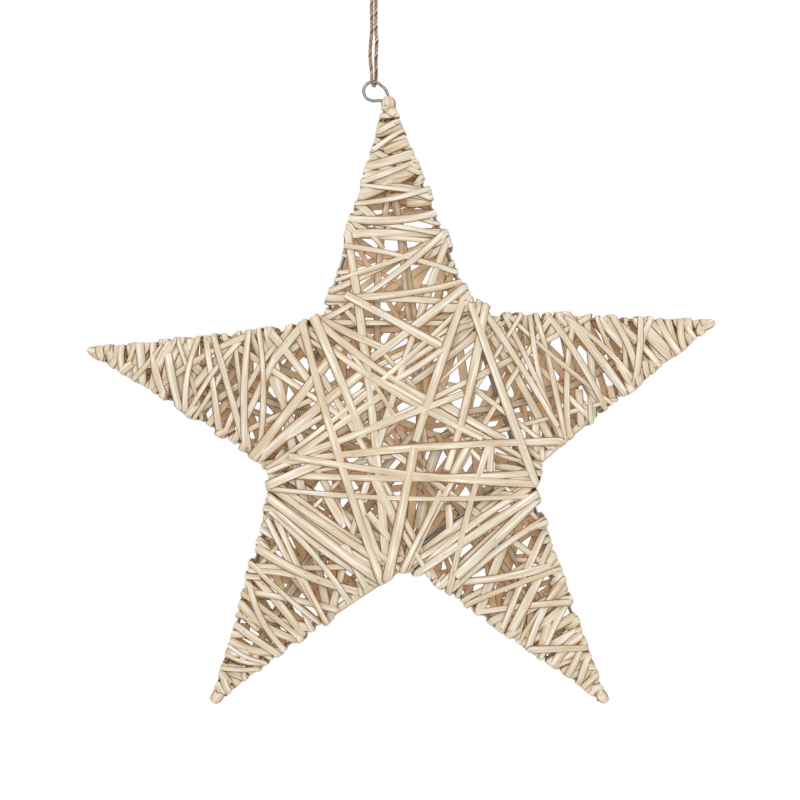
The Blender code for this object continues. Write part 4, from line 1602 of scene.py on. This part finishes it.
def twine_piece(name, path):
    """A twisted twine: a section with a lobe for each ply, which turns along its path."""
    line = np.array([tuple(point) for point in path])
    run = runs_of(line)
    side = np.array((0.0, 1.0, 0.0)) if abs(run[0][1]) < 0.9 else np.array((1.0, 0.0, 0.0))
    along = lengths_along(line)
    places, coordinates = [], []
    for index, point in enumerate(line):
        side = side - run[index] * np.dot(side, run[index])
        side /= np.linalg.norm(side)
        up = np.cross(run[index], side)
        turn = 2.0 * math.pi * along[index] / TWIST_LENGTH
        for corner in range(TWINE_CORNERS):
            angle = 2.0 * math.pi * corner / TWINE_CORNERS
            lobe = abs(math.cos(PLIES / 2 * angle))
            reach = TWINE_DIAMETER / 2 * (TWINE_CORE + TWINE_PLY_RISE * lobe ** TWINE_PLY_ROUNDNESS)
            aim = angle + turn
            places.append(tuple(point + reach * (math.cos(aim) * side + math.sin(aim) * up)))
            coordinates.append((corner / TWINE_CORNERS * TWINE_GIRTH, along[index]))
    faces = tube_faces(0, len(line), TWINE_CORNERS)
    return add_piece(name, swept_mesh(name, places, faces, "Along the twine", coordinates))


class STAR_OT_twine(bpy.types.Operator):
    """Lay the jute twine from its eye down through the ring, and tie its knot"""

    bl_idname = "star.twine"
    bl_label = "Twine"

    def execute(self, context):
        jute = jute_material()
        knot_centre = Vector((0.0, 0.0, KNOT_CENTRE_Z))
        start, middle, end = (knot_centre + Vector(shift) for shift in KNOT_PASSES)
        guides = [start, *twine_eye_guides(), middle, *twine_leg_guides(), end]
        path = smooth_curve(guides, TWINE_POINT_SPACING)
        twine = twine_piece("twine", path)
        dress(twine, jute, "jute_twine", "twine_eye", "twine_legs")
        knot = twine_piece("twine_knot_turns", smooth_curve(knot_guides(knot_centre), TWINE_POINT_SPACING))
        dress(knot, jute, "jute_twine", "twine_knot")
        round(path_length(path), 3)
        [tuple(point) for point in path]
        return {"FINISHED"}


def tube_by_extrusion(name, points, radius, corners):
    """A round wire: a circle that is extruded from point to point along its route."""
    deselect_all()
    bpy.ops.mesh.primitive_circle_add(vertices=corners, radius=radius, fill_type="NGON", location=(0, 0, 0))
    piece = bpy.context.object
    piece.name = name
    bpy.ops.object.mode_set(mode="EDIT")
    for _ in range(len(points) - 1):
        bpy.ops.mesh.extrude_region_move(TRANSFORM_OT_translate={"value": (0.0, 0.0, 1.0)})
    bpy.ops.object.mode_set(mode="OBJECT")
    last = len(points) - 1
    side = Vector((0.0, 1.0, 0.0))
    frames = []
    for index, point in enumerate(points):
        run = (points[min(index + 1, last)] - points[max(index - 1, 0)]).normalized()
        side = (side - side.dot(run) * run).normalized()
        frames.append((point, side, side.cross(run) * -1.0))
    for vertex in piece.data.vertices:
        point, across, up = frames[int(round(vertex.co.z))]
        vertex.co = point + across * vertex.co.x + up * vertex.co.y
    piece.data.shade_smooth()
    piece.data.set_sharp_from_angle(angle=math.radians(SHARP_WIRE_ANGLE))
    return piece


class STAR_OT_wires(bpy.types.Operator):
    """Make the wires of the front and back stars"""

    bl_idname = "star.wires"
    bl_label = "Wire stars"

    def execute(self, context):
        steel = steel_material()
        for star_name, side in (("front", -1), ("back", 1)):
            for number, arm in enumerate(ARMS):
                points = smooth_curve(wire_points(number, side), WIRE_POINT_SPACING)
                wire = tube_by_extrusion(f"steel_wire_{star_name}_{arm}", points, WIRE_RADIUS, WIRE_CORNERS)
                dress(wire, steel, "steel_wire", f"wire_{star_name}_{arm}")
        return {"FINISHED"}


class STAR_OT_ring(bpy.types.Operator):
    """Bend the hanging ring and tuck its ends into the top point"""

    bl_idname = "star.ring"
    bl_label = "Hanging ring"

    def execute(self, context):
        x, z = TIPS[0]
        tip = Vector((x, 0.0, z))
        centre = Vector((RING_CENTRE[0], 0.0, RING_CENTRE[1]))
        guides = [tip + Vector(shift) for shift in RING_FIRST_END]
        for angle in RING_ANGLES:
            turn = math.radians(angle)
            guides.append(centre + RING_RADIUS * Vector((math.cos(turn), 0.0, math.sin(turn))))
        guides += [tip + Vector(shift) for shift in RING_LAST_END]
        points = smooth_curve(guides, RING_POINT_SPACING)
        ring = tube_by_extrusion("steel_ring", points, RING_WIRE_RADIUS, RING_CORNERS)
        dress(ring, steel_material(), "steel_wire", "hanging_ring")
        return {"FINISHED"}


class STAR_OT_willow(bpy.types.Operator):
    """Wind all the willow strips, layer by layer"""

    bl_idname = "star.willow"
    bl_label = "Willow"

    def execute(self, context):
        sizes = settings("star_sizes")
        rng = random.Random(sizes.seed)
        winder = Winder()
        top = []
        for arm in ARMS:
            top += [(arm, strip) for strip in tip_windings(rng, arm, sizes)]
            top += [(arm, strip) for strip in top_windings(rng, arm, sizes)]
        top += [("body", strip) for strip in top_body_windings(winder, rng, sizes)]
        gaps = Gaps(winder)
        for _, strip in top:
            gaps.lay(strip)
        beneath = [("body", strip) for strip in body_windings(winder, rng, gaps, sizes)]
        for arm in ARMS:
            beneath += [(arm, strip) for strip in arm_windings(winder, rng, gaps, arm, sizes)]
        rng.shuffle(beneath)
        wound = [(part, strip, *winder.wind(strip)) for part, strip in beneath + top]
        wound += [(arm, *tip_cap(winder, rng, number, sizes)) for number, arm in enumerate(ARMS)]
        wound += core_strips(rng, sizes)
        meshes = {part: StripMesh() for part in (*ARMS, "body")}
        for part, strip, line, outs in wound:
            meshes[part].add(winder, line, outs, strip)
        material = willow_material()
        for arm in ARMS:
            piece = meshes[arm].finish(f"willow_{arm}_arm")
            dress(piece, material, "willow", *(f"arm_{arm}_{part}" for part in ARM_NODES))
        notches = [f"notch_{arm}_to_{ARMS[(number + 1) % 5]}" for number, arm in enumerate(ARMS)]
        body = meshes["body"].finish("willow_body")
        dress(body, material, "willow", "body_front", "body_back", *notches)
        return {"FINISHED"}


class STAR_OT_stage(bpy.types.Operator):
    """Add the pale floor, the white surroundings and the soft lights"""

    bl_idname = "star.stage"
    bl_label = "Stage"

    def execute(self, context):
        stage = settings("star_stage")
        deselect_all()
        bpy.ops.mesh.primitive_circle_add(
            vertices=FLOOR_CORNERS, radius=FLOOR_RADIUS, fill_type="NGON",
            location=(0, 0, -stage.floor_depth),
        )
        floor = context.object
        floor.name = "floor"
        bpy.ops.object.transform_apply(location=True, rotation=False, scale=False)
        material, _ = new_material("pale floor", {"Base Color": FLOOR_COLOUR, "Roughness": 0.8})
        floor.data.materials.append(material)
        world = bpy.data.worlds.new("white surroundings")
        world.use_nodes = True
        nodes = Nodes(world.node_tree, "Background")
        seen = nodes.add("LightPath")["Is Camera Ray"]
        level = nodes.ramp(seen, 0.0, 1.0, stage.ambient, 1.0)
        nodes.feed(nodes.last, {"Color": WHITE, "Strength": level})
        context.scene.world = world
        context.scene.view_settings.view_transform = "Standard"
        for name, place, size, power in LIGHTS:
            bpy.ops.object.light_add(type="AREA", location=place)
            light = context.object
            light.name = name
            light.data.size = size
            light.data.energy = power
            light.rotation_euler = (LIGHT_AIM - Vector(place)).to_track_quat("-Z", "Y").to_euler()
        return {"FINISHED"}


class STAR_PT_panel(bpy.types.Panel):
    """The add-on's panel"""

    bl_label = "Willow Star"
    bl_idname = "STAR_PT_panel"
    bl_space_type = "VIEW_3D"
    bl_region_type = "UI"
    bl_category = "Willow Star"

    def draw(self, context):
        for group in GROUPS:
            box = self.layout.box()
            for name in settings(group).bl_rna.properties.keys():
                if name not in ("rna_type", "name"):
                    box.prop(settings(group), name)
        for operator in OPERATORS:
            self.layout.operator(operator.bl_idname)


OPERATORS = (STAR_OT_camera, STAR_OT_twine, STAR_OT_wires, STAR_OT_ring, STAR_OT_willow, STAR_OT_stage)
GROUPS = {"star_sizes": StarSizes, "star_finishes": StarFinishes, "star_stage": StarStage}


def register():
    for group_name, group in GROUPS.items():
        bpy.utils.register_class(group)
        setattr(bpy.types.Scene, group_name, bpy.props.PointerProperty(type=group))
    for item in (*OPERATORS, STAR_PT_panel):
        bpy.utils.register_class(item)


def unregister():
    for item in reversed((*OPERATORS, STAR_PT_panel)):
        bpy.utils.unregister_class(item)
    for group_name, group in GROUPS.items():
        delattr(bpy.types.Scene, group_name)
        bpy.utils.unregister_class(group)


def main():
    """Build the whole star."""
    register()
    bpy.ops.star.camera()
    bpy.ops.star.twine()
    bpy.ops.star.wires()
    bpy.ops.star.ring()
    bpy.ops.star.willow()
    bpy.ops.star.stage()


if __name__ == "__main__":
    main()
